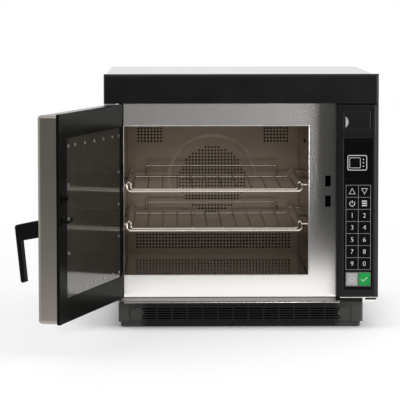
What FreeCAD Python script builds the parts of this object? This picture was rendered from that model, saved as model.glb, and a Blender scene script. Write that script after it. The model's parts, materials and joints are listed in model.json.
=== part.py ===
"""Countertop high-speed oven with a side-hinged door, in millimetres.

The origin is the centre of the underside, +Z is up and the front faces -Y. The door stands open.
"""

import FreeCAD
import Part
import math
import os

V = FreeCAD.Vector

# Overall sizes of the casing, without door, bezel and feet
WIDTH = 489.0
HEIGHT = 450.3
BODY_DEPTH = 560.0
SHEET = 1.0
SEAT_GAP = 0.3

# Base below the casing
CASING_BOTTOM = 50.3
SKIRT_SIDE_INSET = 24.0
SKIRT_FRONT_INSET = 16.0
SKIRT_REAR_INSET = 12.0
SKIRT_WALL = 3.0
PLINTH_HEIGHT = 6.5
PLINTH_INSET = 4.5
PLINTH_RIM_DROP = 2.0
FOOT_HEIGHT = 3.0
FOOT_RADIUS = 14.0
FOOT_RECESS = 1.2
FOOT_RECESS_GAP = 1.0
FOOT_SPIGOT_RADIUS = 3.8
FOOT_INSET = 34.0
SKIRT_POST_RADIUS = 6.0

# Intake filter grille in the front of the base
GRILLE_LOW = 8.5
GRILLE_HEIGHT = 27.0
GRILLE_SIDE_INSET = 20.5
GRILLE_THICKNESS = 3.0
GRILLE_EDGE_GAP = 0.5
GRILLE_SLOTS = 5
GRILLE_SLOT_PITCH = 4.4
GRILLE_SLOT_HEIGHT = 2.2
GRILLE_BAYS = 13
GRILLE_RIB = 2.4
GRILLE_BOSS_RADIUS = 11.5
GRILLE_ARM_LENGTH = 30.0

# Front frame and cooking cavity
FRAME_THICKNESS = 1.2
FRAME_BOTTOM = 44.0
FRAME_LIP = 2.2
FRAME_LIP_PROUD = 1.2
CAVITY_SIDE_MARGIN = 35.0
CAVITY_TOP_MARGIN = 90.1
CAVITY_FLOOR_LEVEL = 93.2
RIGHT_BAY = 124.0
REAR_BAY = 179.0
FAN_CHAMBER_DEPTH = 48.0
SHELF_THICKNESS = 6.0
SHELF_SIDE_GAP = 1.0

# Sill under the door opening
SILL_LEFT_INSET = 25.0
SILL_RIGHT_OVERRUN = 8.0
SILL_TOP = 53.0
SILL_PROUD = 8.0
SILL_NUB_RADIUS = 2.5
SILL_NUB_DROP = 1.4

# Top bezel and control housing stand in front of the frame
BEZEL_PROUD = 32.0
BEZEL_RISE = 4.0
BEZEL_HEIGHT = 52.4
BEZEL_RETURN = 8.0
BEZEL_WALL = 3.0
BEZEL_EDGE_RADIUS = 5.0
BEZEL_POST_COUNT = 4
PANEL_WIDTH = 75.0
PANEL_TOP_GAP = 0.9
PANEL_BOTTOM = 55.5
PANEL_WALL = 2.5
PANEL_LEFT_BEVEL = 10.0
PANEL_LEFT_BEVEL_DEPTH = 5.0
PANEL_RIGHT_BEVEL = 6.5
PANEL_RIGHT_BEVEL_DEPTH = 6.0
PANEL_END_CHAMFER = 3.0

# Keypad, measured from the housing's left, bottom and top edges
OVERLAY_LEFT = 13.0
OVERLAY_RIGHT = 64.0
OVERLAY_FROM_BOTTOM = 13.4
OVERLAY_FROM_TOP = 61.1
OVERLAY_THICKNESS = 1.0
OVERLAY_RECESS = 0.2
OVERLAY_LEDGE = 2.0
OVERLAY_GAP = 0.2
KEY_GRID_LEFT = 16.9
KEY_GRID_BOTTOM = 49.6
KEY_GRID_TO_DISPLAY = 14.6
KEY_PITCH_X = 21.9
KEY_BAR = 1.6
KEY_GAP = 0.3
KEY_LIP = 0.45
KEY_LIP_THICKNESS = 0.8
KEY_TRAVEL = 0.6
KEY_STEM_RADIUS = 2.0
KEY_STEM_GAP = 0.5
KEY_STEM_LENGTH = 5.7
BOTTOM_KEY_LOW = 21.0
BOTTOM_KEY_HEIGHT = 22.9
DISPLAY_LEFT = 14.8
DISPLAY_RIGHT = 58.6
DISPLAY_FROM_TOP = 70.5
DISPLAY_HEIGHT = 59.6
DISPLAY_THICKNESS = 1.6
DISPLAY_GAP = 0.15
DISPLAY_RECESS = 0.1
DISPLAY_LEDGE = 2.0
BOARD_THICKNESS = 1.6
BOARD_DEPTH = 12.0

# Service port with its hinged cover, near the top of the housing
PORT_LEFT = 13.6
PORT_RIGHT = 61.9
PORT_FROM_TOP = 14.3
PORT_HEIGHT = 31.4
PORT_COVER_THICKNESS = 2.2
PORT_PIN_RADIUS = 1.2
PORT_PIN_CLEARANCE = 0.1
PORT_COVER_GAP = 0.35
PORT_RECESS_DEPTH = 12.0
SCOOP_RADIUS = 10.6
SCOOP_OFFSET = 3.2

# Door, given as it lies when closed
DOOR_OPEN_ANGLE = 104.15
DOOR_BOTTOM = 55.5
DOOR_TOP_GAP = 2.9
DOOR_PANEL_GAP = 3.5
DOOR_FACE_GAP = 2.0
DOOR_SHELL_DEPTH = 32.5
DOOR_SKIN = 1.0
DOOR_EDGE_RADIUS = 6.0
COVER_DEPTH = 5.0
COVER_HINGE_INSET = 17.5
COVER_OVERHANG = 1.8
COVER_NOTCH = 22.0
CORE_SHEET = 1.2
CORE_GAP = 1.5
INNER_PANEL_THICKNESS = 2.5
INNER_PANEL_RECESS = 1.5
INNER_PANEL_OVERLAP = 7.5
INNER_PANEL_RIGHT_OVERLAP = 0.5
INNER_PANEL_GAP = 0.3
HAT_INSET = 2.0
DOOR_SCREW_RADIUS = 1.5
DOOR_SCREW_HEAD_RADIUS = 2.6
DOOR_SCREW_HEAD = 1.0
DOOR_SCREW_EDGES = (10.0, 14.0, 10.0, 14.0)
DOOR_SCREW_PITCH_X = 58.3
DOOR_SCREW_PITCH_Z = 57.0
DOOR_SCREWS_BETWEEN_X = 5
DOOR_SCREWS_BETWEEN_Z = 3

# Hinge
HINGE_SIDE_INSET = 15.0
HINGE_AXIS_PROUD = 21.0
PIN_RADIUS = 3.0
PIN_CLEARANCE = 0.06
PIN_REACH = 16.0
BRACKET_THICKNESS = 2.0
BRACKET_WIDTH = 23.0
BRACKET_DEPTH = 31.0
BRACKET_FLANGE = 1.5

# Latch hooks, from the free edge of the door
HOOK_EDGE_INSET = 10.0
HOOK_THICKNESS = 6.0
HOOK_LIFT = 5.0
HOOK_GAP = 0.8
UPPER_HOOK_LOW = 258.0
UPPER_HOOK_HIGH = 266.3
UPPER_HOOK_REACH = 12.7
LOWER_HOOK_LOW = 222.2
LOWER_HOOK_HIGH = 226.4
LOWER_HOOK_TIP = 232.0
LOWER_HOOK_REACH = 19.5
LATCH_SLOT_WIDTH = 10.0
UPPER_SLOT = (251.7, 271.3)
LOWER_SLOT = (215.5, 235.5)

# Handle, from the free edge of the door
HANDLE_EDGE_INSET = 21.0
HANDLE_WIDTH = 22.0
HANDLE_ROOT_TOP = 225.8
HANDLE_ROOT_HEIGHT = 28.9
HANDLE_ARM_DROP = 9.3
HANDLE_PROUD = 46.5
HANDLE_CORNER = 2.5
HANDLE_GRIP_BOTTOM = 120.5
HANDLE_GRIP_THICKNESS = 7.5
HANDLE_GRIP_LEAN = 9.9
HANDLE_EDGE_RADIUS = 2.5

# Wire racks and the wire supports that carry them
RACK_WIRE = 2.0
RACK_CROSS_WIRE = 1.4
RACK_CROSS_COUNT = 12
RACK_CROSS_PITCH = 26.6
RACK_DEPTH = 335.0
RACK_FRONT = 12.0
RACK_SECOND_BAR = 8.0
RACK_RAIL_RISE = 15.4
RACK_STOP_RISE = 21.3
RACK_SIDE_GAP = 8.5
RACK_LEFT_GAP = 2.5
RACK_CORNER = 7.0
RACK_LEVELS = (78.7, 149.4)
RACK_STOP_INSET = 32.0
SUPPORT_WIRE = 2.0
SUPPORT_FRONT = 19.0
SUPPORT_LENGTH = 352.0

# Convection fan behind the cavity
FAN_RISE = 9.3
BAFFLE_RING_RISE = 6.7
BAFFLE_RING_MARGIN = 42.0
BAFFLE_RING_PROUD = 2.5
BAFFLE_FLANGE = 12.0
FAN_SHAFT_RADIUS = 4.0
FAN_TO_ELEMENT = 10.5
FAN_BLADES = 8
FAN_BLADE_HEIGHT = 20.0
FAN_HUB_RADIUS = 12.0
SHAFT_CLEARANCE = 0.06
FAN_MOTOR_RADIUS = 40.0
FAN_MOTOR_LENGTH = 70.0
ELEMENT_RING_MARGIN = 47.5
ELEMENT_TUBE_RADIUS = 3.5
ELEMENT_GAP_ANGLE = 24.0
INSULATION = 20.0

# Microwave feed and power parts in the right bay
WAVEGUIDE_WIDTH = 90.0
WAVEGUIDE_WALL = 1.0
WAVEGUIDE_REACH = 90.0
MAGNETRON_FROM_REAR = 370.0
MAGNETRON_BODY = (86.0, 76.0, 78.0)
MAGNETRON_FINS = 6
TRANSFORMER_BODY = (96.0, 84.0, 82.0)
TRANSFORMERS_FROM_REAR = (232.0, 122.0)
BLOWER_RADIUS = 50.0
BLOWER_DEPTH = 54.0
BLOWER_WHEEL_RADIUS = 40.0
BLOWER_BLADES = 16
BLOWER_FROM_REAR = 100.0
BLOWER_HEIGHT = 252.0
BLOWER_MOTOR_RADIUS = 24.0

# Rear
GLAND_RADIUS = 10.0
GLAND_BORE_RADIUS = 5.0
GLAND_LENGTH = 14.0
GLAND_HEIGHT = 92.0
GLAND_FROM_RIGHT = 62.0
SCREW_RADIUS = 2.0
SCREW_HEAD_RADIUS = 4.0
SCREW_HEAD = 2.2
SCREW_CLEARANCE = 0.25
REAR_FLANGE = 14.0

# Places that follow from the sizes
LEFT = -WIDTH / 2
RIGHT = WIDTH / 2
FRONT = -BODY_DEPTH / 2
REAR = BODY_DEPTH / 2
CAVITY_LEFT = LEFT + CAVITY_SIDE_MARGIN
CAVITY_RIGHT = RIGHT - RIGHT_BAY
CAVITY_TOP = HEIGHT - CAVITY_TOP_MARGIN
CAVITY_MIDDLE = (CAVITY_LEFT + CAVITY_RIGHT) / 2
CAVITY_HALF_HEIGHT = (CAVITY_TOP - CAVITY_FLOOR_LEVEL) / 2
FAN_CENTRE_HEIGHT = CAVITY_FLOOR_LEVEL + CAVITY_HALF_HEIGHT + FAN_RISE
BAFFLE_RING_HEIGHT = CAVITY_FLOOR_LEVEL + CAVITY_HALF_HEIGHT + BAFFLE_RING_RISE
BAFFLE_RING_RADIUS = CAVITY_HALF_HEIGHT - BAFFLE_RING_MARGIN
ELEMENT_RING_RADIUS = CAVITY_HALF_HEIGHT - ELEMENT_RING_MARGIN
FAN_RADIUS = ELEMENT_RING_RADIUS - ELEMENT_TUBE_RADIUS - FAN_TO_ELEMENT
CAVITY_BACK = REAR - REAR_BAY
CHAMBER_BACK = CAVITY_BACK + FAN_CHAMBER_DEPTH
LINER_FLOOR = CAVITY_FLOOR_LEVEL - 2 * SEAT_GAP - SHELF_THICKNESS
PAN_LOW = CASING_BOTTOM + SHEET
PAN_HIGH = PAN_LOW + SHEET
BEZEL_TOP = HEIGHT + BEZEL_RISE
BEZEL_LOW = BEZEL_TOP - BEZEL_HEIGHT
BEZEL_FACE = FRONT - BEZEL_PROUD
PANEL_LEFT = RIGHT - PANEL_WIDTH
PANEL_TOP = BEZEL_LOW - PANEL_TOP_GAP
PANEL_SPAN = PANEL_TOP - PANEL_BOTTOM
OVERLAY_LOW = PANEL_BOTTOM + OVERLAY_FROM_BOTTOM
OVERLAY_HIGH = PANEL_TOP - OVERLAY_FROM_TOP
DISPLAY_HIGH = PANEL_TOP - DISPLAY_FROM_TOP
DISPLAY_LOW = DISPLAY_HIGH - DISPLAY_HEIGHT
OVERLAY_FACE = BEZEL_FACE + OVERLAY_RECESS
OVERLAY_BACK = OVERLAY_FACE + OVERLAY_THICKNESS
DISPLAY_FACE = OVERLAY_FACE + DISPLAY_RECESS
KEY_FLOOR = OVERLAY_BACK + KEY_LIP_THICKNESS + KEY_TRAVEL + 2 * SEAT_GAP
HOUSING_BACK_WALL = KEY_FLOOR + PANEL_WALL
BOARD_FACE = BEZEL_FACE + BOARD_DEPTH
DOOR_FREE_EDGE = PANEL_LEFT - DOOR_PANEL_GAP
DOOR_TOP = BEZEL_LOW - DOOR_TOP_GAP
COVER_FACE = FRONT - DOOR_FACE_GAP
SHELL_RIM = COVER_FACE - COVER_DEPTH
DOOR_FACE = SHELL_RIM - DOOR_SHELL_DEPTH
HINGE_X = LEFT + HINGE_SIDE_INSET
HINGE_Y = FRONT - HINGE_AXIS_PROUD
HOOK_X = DOOR_FREE_EDGE - HOOK_EDGE_INSET
INNER_LEFT = CAVITY_LEFT - INNER_PANEL_OVERLAP
INNER_RIGHT = CAVITY_RIGHT + INNER_PANEL_RIGHT_OVERLAP
INNER_LOW = CAVITY_FLOOR_LEVEL + INNER_PANEL_GAP
INNER_HIGH = CAVITY_TOP - INNER_PANEL_GAP
INNER_FACE = COVER_FACE - INNER_PANEL_RECESS
INNER_BACK = INNER_FACE - INNER_PANEL_THICKNESS
RACK_LEFT = CAVITY_LEFT + RACK_LEFT_GAP + RACK_WIRE
RACK_RIGHT = CAVITY_RIGHT - RACK_SIDE_GAP - RACK_WIRE
MAGNETRON_Y = REAR - MAGNETRON_FROM_REAR
BAY_MIDDLE = (CAVITY_RIGHT + INSULATION + RIGHT) / 2
GLAND_X = RIGHT - GLAND_FROM_RIGHT

KEY_NAMES = (
    ("key_9", "key_0"),
    ("key_7", "key_8"),
    ("key_5", "key_6"),
    ("key_3", "key_4"),
    ("key_1", "key_2"),
    ("key_power", "key_menu"),
    ("key_up", "key_down"),
)


def block(x0, x1, y0, y1, z0, z1):
    """A box between two corners."""
    return Part.makeBox(x1 - x0, y1 - y0, z1 - z0, V(x0, y0, z0))


def rod(start, end, radius):
    """A round bar between two points."""
    along = end - start
    return Part.makeCylinder(radius, along.Length, start, along)


def fused(shapes):
    """One solid from shapes that meet."""
    whole = shapes[0].fuse(list(shapes[1:])) if len(shapes) > 1 else shapes[0]
    whole = whole.removeSplitter()
    return whole.Solids[0] if len(whole.Solids) == 1 else whole


def less(shape, cutters):
    """A shape with every cutter taken out of it."""
    cut = shape.cut(Part.makeCompound(list(cutters)))
    return cut.Solids[0] if len(cut.Solids) == 1 else cut


def edges_along(shape, axis, at):
    """The straight edges along one axis that pass the test on their middle point."""
    found = []
    for edge in shape.Edges:
        if edge.Curve.TypeId != "Part::GeomLine":
            continue
        way = edge.Vertexes[-1].Point - edge.Vertexes[0].Point
        parts = (abs(way.x), abs(way.y), abs(way.z))
        if parts[axis] > 0.999 * way.Length and at(edge.CenterOfMass):
            found.append(edge)
    return found


def rounded_block(x0, x1, y0, y1, z0, z1, radius, axis=2):
    """A box whose four edges along one axis are rounded."""
    shape = block(x0, x1, y0, y1, z0, z1)
    return shape.makeFillet(radius, edges_along(shape, axis, lambda p: True))


def bent_rod(points, bends, radius):
    """A round bar along straight runs, with an arc of its own radius at each inner point."""
    spine = []
    start = points[0]
    for i, bend in enumerate(bends, start=1):
        corner = points[i]
        back = (points[i - 1] - corner).normalize()
        onward = (points[i + 1] - corner).normalize()
        half = back.getAngle(onward) / 2
        reach = bend / math.tan(half)
        first = corner + back * reach
        last = corner + onward * reach
        middle_way = (back + onward).normalize()
        middle = corner + middle_way * (bend / math.sin(half) - bend)
        if (first - start).Length > 1e-6:
            spine.append(Part.LineSegment(start, first).toShape())
        spine.append(Part.Arc(first, middle, last).toShape())
        start = last
    if (points[-1] - start).Length > 1e-6:
        spine.append(Part.LineSegment(start, points[-1]).toShape())
    way = (points[1] - points[0]).normalize()
    ring = Part.Wire(Part.Circle(points[0], way, radius).toShape())
    pipe = Part.Wire(spine).makePipeShell([ring], True, False)
    return pipe if pipe.ShapeType == "Solid" else Part.Solid(pipe)


def mirrored_x(shape, x):
    """A copy mirrored across a plane of constant X."""
    return shape.mirror(V(x, 0, 0), V(1, 0, 0))


def prism_x(points, x0, x1):
    """A (y, z) outline carried along X."""
    wire = Part.makePolygon([V(x0, y, z) for y, z in points + points[:1]])
    return Part.Face(wire).extrude(V(x1 - x0, 0, 0))


def prism_z(points, z0, z1):
    """An (x, y) outline carried along Z."""
    wire = Part.makePolygon([V(x, y, z0) for x, y in points + points[:1]])
    return Part.Face(wire).extrude(V(0, 0, z1 - z0))


# Casing


def outer_wrap():
    """Top and both sides in one bent sheet, with flanges below and at the rear."""
    top_front = FRONT - BEZEL_PROUD + BEZEL_RETURN + SEAT_GAP
    shape = block(LEFT, RIGHT, top_front, REAR, CASING_BOTTOM, HEIGHT)
    outer = edges_along(shape, 1, lambda p: p.z > HEIGHT - 1)
    shape = shape.makeFillet(3 * SHEET, outer)
    inside = block(LEFT + SHEET, RIGHT - SHEET, top_front - 1, REAR + 1, CASING_BOTTOM - 1, HEIGHT - SHEET)
    inside = inside.makeFillet(2 * SHEET, edges_along(inside, 1, lambda p: p.z > HEIGHT / 2))
    shape = shape.cut(inside)
    shape = shape.cut(block(LEFT - 1, RIGHT + 1, top_front - 1, FRONT, CASING_BOTTOM - 1, BEZEL_LOW))
    pieces = [shape]
    flange_width = 12.0
    for side, inner in ((LEFT, LEFT + flange_width), (RIGHT - flange_width, RIGHT)):
        pieces.append(block(side, inner, FRONT + FRAME_THICKNESS + SEAT_GAP, REAR, CASING_BOTTOM, PAN_LOW))
    back = REAR - SHEET - SEAT_GAP
    low = PAN_HIGH + SEAT_GAP
    frame = block(LEFT + SHEET / 2, RIGHT - SHEET / 2, back - SHEET, back, low, HEIGHT - SHEET / 2)
    hole = block(
        LEFT + SHEET + REAR_FLANGE,
        RIGHT - SHEET - REAR_FLANGE,
        back - 2,
        back + 1,
        low - 1,
        HEIGHT - SHEET - REAR_FLANGE,
    )
    pieces.append(frame.cut(hole))
    return less(fused(pieces), [rear_screw_hole(x, z) for x, z in rear_screw_places()])


def rear_screw_places():
    """Centres of the screws round the back panel, on the rear flange."""
    inset = SHEET + REAR_FLANGE / 2
    low = PAN_HIGH + 24.0
    high = HEIGHT - inset
    places = []
    for x in (LEFT + inset, RIGHT - inset):
        for i in range(4):
            places.append((x, low + (high - low) * i / 3))
    for i in (1, 2):
        places.append((LEFT + WIDTH * i / 3, high))
    return places


def rear_screw_hole(x, z):
    """Clearance hole for one rear screw."""
    radius = SCREW_RADIUS + SCREW_CLEARANCE
    return rod(V(x, REAR - 8, z), V(x, REAR + 1, z), radius)


def cabinet_screws():
    """Pan-head screws round the back panel."""
    screws = []
    for x, z in rear_screw_places():
        shank = rod(V(x, REAR - 6, z), V(x, REAR + 0.5, z), SCREW_RADIUS)
        head = rod(V(x, REAR, z), V(x, REAR + SCREW_HEAD, z), SCREW_HEAD_RADIUS)
        far = [e for e in head.Edges if e.CenterOfMass.y > REAR + SCREW_HEAD / 2 and e.Closed]
        screws.append(fused([head.makeFillet(SCREW_HEAD / 2, far[:1]), shank]))
    return Part.makeCompound(screws)


def back_panel():
    """Flat rear sheet with louvre slots, screw holes and the gland hole."""
    gap = SEAT_GAP
    x0 = LEFT + SHEET + gap
    x1 = RIGHT - SHEET - gap
    panel = block(x0, x1, REAR - SHEET, REAR, PAN_LOW + gap, HEIGHT - SHEET - gap)
    panel = panel.makeFillet(2 * SHEET, edges_along(panel, 1, lambda p: p.z > HEIGHT / 2))
    cutters = [rear_screw_hole(x, z) for x, z in rear_screw_places()]
    slot_length, slot_height, slot_pitch = 70.0, 4.0, 10.0
    for x_low, z_low, count in (
        (BAY_MIDDLE - 35, BLOWER_HEIGHT - 45, 10),
        (CAVITY_MIDDLE - 100, 120.0, 8),
        (CAVITY_MIDDLE + 30, 120.0, 8),
    ):
        for i in range(count):
            z = z_low + i * slot_pitch
            cutters.append(block(x_low, x_low + slot_length, REAR - 3, REAR + 1, z, z + slot_height))
    cutters.append(
        rod(V(GLAND_X, REAR - 3, GLAND_HEIGHT), V(GLAND_X, REAR + 1, GLAND_HEIGHT), GLAND_RADIUS)
    )
    return less(panel, cutters)


def mains_gland():
    """Cable gland with a hexagonal body outside and a lock nut inside."""
    x, z = GLAND_X, GLAND_HEIGHT
    barrel = rod(V(x, REAR - 10, z), V(x, REAR + GLAND_LENGTH, z), GLAND_RADIUS)

    def hexagon(y0, y1, across):
        corners = []
        for i in range(6):
            angle = math.radians(60 * i)
            corners.append(V(x + across * math.cos(angle), y0, z + across * math.sin(angle)))
        return Part.Face(Part.makePolygon(corners + corners[:1])).extrude(V(0, y1 - y0, 0))

    body = hexagon(REAR, REAR + 6, 1.4 * GLAND_RADIUS)
    nut = hexagon(REAR - SHEET - 5, REAR - SHEET, 1.4 * GLAND_RADIUS)
    bore = rod(V(x, REAR - 12, z), V(x, REAR + GLAND_LENGTH + 1, z), GLAND_BORE_RADIUS)
    return fused([barrel, body, nut]).cut(bore).Solids[0]


def base_pan():
    """Flat steel floor of the casing, with a turned-up rear edge."""
    x0 = LEFT + SHEET + SEAT_GAP
    x1 = RIGHT - SHEET - SEAT_GAP
    y0 = FRONT + FRAME_THICKNESS + SEAT_GAP
    y1 = REAR - 2 * SHEET - 3 * SEAT_GAP
    pan = block(x0, x1, y0, y1, PAN_LOW, PAN_HIGH)
    rim = block(x0 + 2, x1 - 2, y1 - SHEET, y1, PAN_LOW, PAN_LOW + 14)
    return fused([pan, rim])


def skirt_post_places():
    """Posts that carry the casing on the base, over the feet."""
    x = RIGHT - SKIRT_SIDE_INSET - FOOT_INSET
    y_front = FRONT + SKIRT_FRONT_INSET + FOOT_INSET + 20
    y_rear = REAR - SKIRT_REAR_INSET - FOOT_INSET
    return [(sx * x, y) for sx in (-1, 1) for y in (y_front, y_rear)]


def base_skirt():
    """Moulded plastic base: a tub on a slightly smaller plinth, open at the front for the grille."""
    x1 = RIGHT - SKIRT_SIDE_INSET
    y0 = FRONT + SKIRT_FRONT_INSET
    y1 = REAR - SKIRT_REAR_INSET
    tub = rounded_block(-x1, x1, y0, y1, PLINTH_HEIGHT, PAN_LOW, 4.0)
    plinth = rounded_block(
        PLINTH_INSET - x1,
        x1 - PLINTH_INSET,
        y0 + PLINTH_INSET,
        y1 - PLINTH_INSET,
        0,
        PLINTH_HEIGHT + 1,
        4.0,
    )
    wall = SKIRT_WALL + PLINTH_INSET
    hollow = block(wall - x1, x1 - wall, y0 + wall, y1 - wall, SKIRT_WALL, PAN_LOW + 1)
    upper = block(
        SKIRT_WALL - x1,
        x1 - SKIRT_WALL,
        y0 + SKIRT_WALL,
        y1 - SKIRT_WALL,
        PLINTH_HEIGHT + SKIRT_WALL,
        PAN_LOW + 1,
    )
    rim = rounded_block(
        PLINTH_INSET - x1, x1 - PLINTH_INSET, y0 + PLINTH_INSET, y1 - PLINTH_INSET, -PLINTH_RIM_DROP, 1, 4.0
    )
    rim = rim.cut(block(wall - x1, x1 - wall, y0 + wall, y1 - wall, -PLINTH_RIM_DROP - 1, 2))
    shape = fused([tub, plinth]).cut(hollow).cut(upper)
    shape = fused([shape, rim])
    posts = [rod(V(x, y, 1), V(x, y, PAN_LOW), SKIRT_POST_RADIUS + 2) for x, y in skirt_post_places()]
    shape = fused([shape] + posts)
    half = x1 - GRILLE_SIDE_INSET + GRILLE_EDGE_GAP
    low = GRILLE_LOW - GRILLE_EDGE_GAP
    high = GRILLE_LOW + GRILLE_HEIGHT + GRILLE_EDGE_GAP
    cutters = [block(-half, half, y0 - 1, y0 + wall + 2, low, high)]
    for x, y in skirt_post_places():
        cutters.append(rod(V(x, y, -1), V(x, y, 12), FOOT_SPIGOT_RADIUS))
        cutters.append(rod(V(x, y, -1), V(x, y, FOOT_RECESS), FOOT_RADIUS + FOOT_RECESS_GAP))
    for i in range(9):
        x = (i - 4) * 36.0
        cutters.append(block(x - 12, x + 12, -170, -90, -1, SKIRT_WALL + 1))
        cutters.append(block(x - 12, x + 12, 70, 150, -1, SKIRT_WALL + 1))
    return less(shape, cutters)


def feet():
    """Rubber pads seated in round recesses of the base, each with a spigot."""
    pads = []
    for x, y in skirt_post_places():
        height = FOOT_HEIGHT + FOOT_RECESS
        pad = Part.makeCone(FOOT_RADIUS - 1, FOOT_RADIUS, height, V(x, y, -FOOT_HEIGHT))
        pads.append(fused([pad, rod(V(x, y, -1), V(x, y, 10), FOOT_SPIGOT_RADIUS)]))
    return Part.makeCompound(pads)


def filter_grille():
    """Louvred intake grille with a round boss at each end and two guide arms behind."""
    half = RIGHT - SKIRT_SIDE_INSET - GRILLE_SIDE_INSET
    y0 = FRONT + SKIRT_FRONT_INSET
    y1 = y0 + GRILLE_THICKNESS
    low = GRILLE_LOW
    high = low + GRILLE_HEIGHT
    middle = (low + high) / 2 - 0.8
    pieces = [block(-half, half, y0, y1, low, high)]
    for side in (-1, 1):
        x = side * (half - GRILLE_BOSS_RADIUS)
        pieces.append(rod(V(x, y0 - 1, middle), V(x, y1, middle), GRILLE_BOSS_RADIUS))
        arm = side * (half - 14)
        pieces.append(
            block(
                min(arm, arm - 2 * side),
                max(arm, arm - 2 * side),
                y1 - 1,
                y1 + GRILLE_ARM_LENGTH,
                low + 4,
                high - 4,
            )
        )
    shape = fused(pieces)
    reach = half - 2 * GRILLE_BOSS_RADIUS + 2
    bay = 2 * reach / GRILLE_BAYS
    cutters = []
    for row in range(GRILLE_SLOTS):
        z = middle + (row - (GRILLE_SLOTS - 1) / 2) * GRILLE_SLOT_PITCH
        for i in range(GRILLE_BAYS):
            x = -reach + i * bay
            cutters.append(
                block(
                    x + GRILLE_RIB / 2,
                    x + bay - GRILLE_RIB / 2,
                    y0 - 1,
                    y1 + 1,
                    z - GRILLE_SLOT_HEIGHT / 2,
                    z + GRILLE_SLOT_HEIGHT / 2,
                )
            )
    return less(shape, cutters)


# Front frame and cavity


def front_frame():
    """Steel face plate round the cavity, with a raised lip, latch slots and a top flange."""
    x1 = RIGHT - SHEET - SEAT_GAP
    top = HEIGHT - SHEET - SEAT_GAP
    y1 = FRONT + FRAME_THICKNESS
    lip = FRAME_LIP
    plate = block(-x1, x1, FRONT, y1, FRAME_BOTTOM, top)
    plate = plate.makeFillet(3 * SHEET, edges_along(plate, 1, lambda p: p.z > top - 1))
    ring = block(
        CAVITY_LEFT - lip,
        CAVITY_RIGHT + lip,
        FRONT - FRAME_LIP_PROUD,
        y1,
        CAVITY_FLOOR_LEVEL - lip,
        CAVITY_TOP + lip,
    )
    flange = block(3 * SHEET - x1, x1 - 3 * SHEET, y1 - 0.5, y1 + 14, top - FRAME_THICKNESS, top)
    shape = fused([plate, ring, flange])
    hole = block(CAVITY_LEFT, CAVITY_RIGHT, FRONT - 5, y1 + 1, CAVITY_FLOOR_LEVEL, CAVITY_TOP)
    cutters = [hole]
    for low, high in (UPPER_SLOT, LOWER_SLOT):
        half = LATCH_SLOT_WIDTH / 2
        cutters.append(block(HOOK_X - half, HOOK_X + half, FRONT - 1, y1 + 1, low, high))
    shape = less(shape, cutters)
    front_face = FRONT - FRAME_LIP_PROUD
    rim = [e for e in shape.Edges if abs(e.CenterOfMass.y - front_face) < 0.01]
    return shape.makeFillet(0.45 * FRAME_LIP, rim)


def sill_trim():
    """Steel trim under the opening, leaning outwards towards its rounded lower edge."""
    x0 = LEFT + SILL_LEFT_INSET
    x1 = PANEL_LEFT + SILL_RIGHT_OVERRUN
    outline = [
        (FRONT, SILL_TOP),
        (FRONT - 3.0, SILL_TOP),
        (FRONT - SILL_PROUD, FRAME_BOTTOM + 2.5),
        (FRONT - SILL_PROUD + 0.6, FRAME_BOTTOM + 0.7),
        (FRONT - SILL_PROUD + 2.4, FRAME_BOTTOM),
        (FRONT, FRAME_BOTTOM),
    ]
    pieces = [prism_x(outline, x0, x1)]
    y = FRONT - SILL_PROUD / 2
    for x in (x0 + 40.0, (x0 + x1) / 2 + 20.0):
        pieces.append(
            rod(V(x, y, FRAME_BOTTOM - SILL_NUB_DROP), V(x, y, FRAME_BOTTOM + 1), SILL_NUB_RADIUS)
        )
    return fused(pieces)


def cavity_liner():
    """Steel box of the cooking cavity and the fan chamber behind it, open at the front."""
    y0 = FRONT + FRAME_THICKNESS
    outer = block(
        CAVITY_LEFT - SHEET,
        CAVITY_RIGHT + SHEET,
        y0,
        CHAMBER_BACK + SHEET,
        LINER_FLOOR - SHEET,
        CAVITY_TOP + SHEET,
    )
    inner = block(CAVITY_LEFT, CAVITY_RIGHT, y0 - 1, CHAMBER_BACK, LINER_FLOOR, CAVITY_TOP)
    cutters = [
        inner,
        rod(
            V(CAVITY_MIDDLE, CHAMBER_BACK - 1, FAN_CENTRE_HEIGHT),
            V(CAVITY_MIDDLE, CHAMBER_BACK + 3, FAN_CENTRE_HEIGHT),
            FAN_SHAFT_RADIUS + 2,
        ),
    ]
    for x, z in element_lead_places():
        cutters.append(rod(V(x, CHAMBER_BACK - 1, z), V(x, CHAMBER_BACK + 3, z), ELEMENT_TUBE_RADIUS + 0.2))
    return less(outer, cutters)


def fan_baffle():
    """Rear wall of the cavity with a shallow raised disc over the fan, flanged at both sides."""
    x0 = CAVITY_LEFT + SEAT_GAP
    x1 = CAVITY_RIGHT - SEAT_GAP
    z0 = LINER_FLOOR + SEAT_GAP
    z1 = CAVITY_TOP - SEAT_GAP
    back = CAVITY_BACK + SHEET
    plate = block(x0, x1, CAVITY_BACK, back, z0, z1)
    centre = V(CAVITY_MIDDLE, CAVITY_BACK + 0.5, BAFFLE_RING_HEIGHT)
    dome = Part.makeCone(
        BAFFLE_RING_RADIUS, BAFFLE_RING_RADIUS - 4, BAFFLE_RING_PROUD + 0.5, centre, V(0, -1, 0)
    )
    hollow_start = V(CAVITY_MIDDLE, back + 0.5, BAFFLE_RING_HEIGHT)
    hollow = Part.makeCone(
        BAFFLE_RING_RADIUS - 0.5,
        BAFFLE_RING_RADIUS - 5,
        BAFFLE_RING_PROUD + 0.5,
        hollow_start,
        V(0, -1, 0),
    )
    sides = [
        block(x0, x0 + SHEET, back - 0.5, back + BAFFLE_FLANGE, z0, z1),
        block(x1 - SHEET, x1, back - 0.5, back + BAFFLE_FLANGE, z0, z1),
    ]
    return fused([plate, dome] + sides).cut(hollow).Solids[0]


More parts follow.
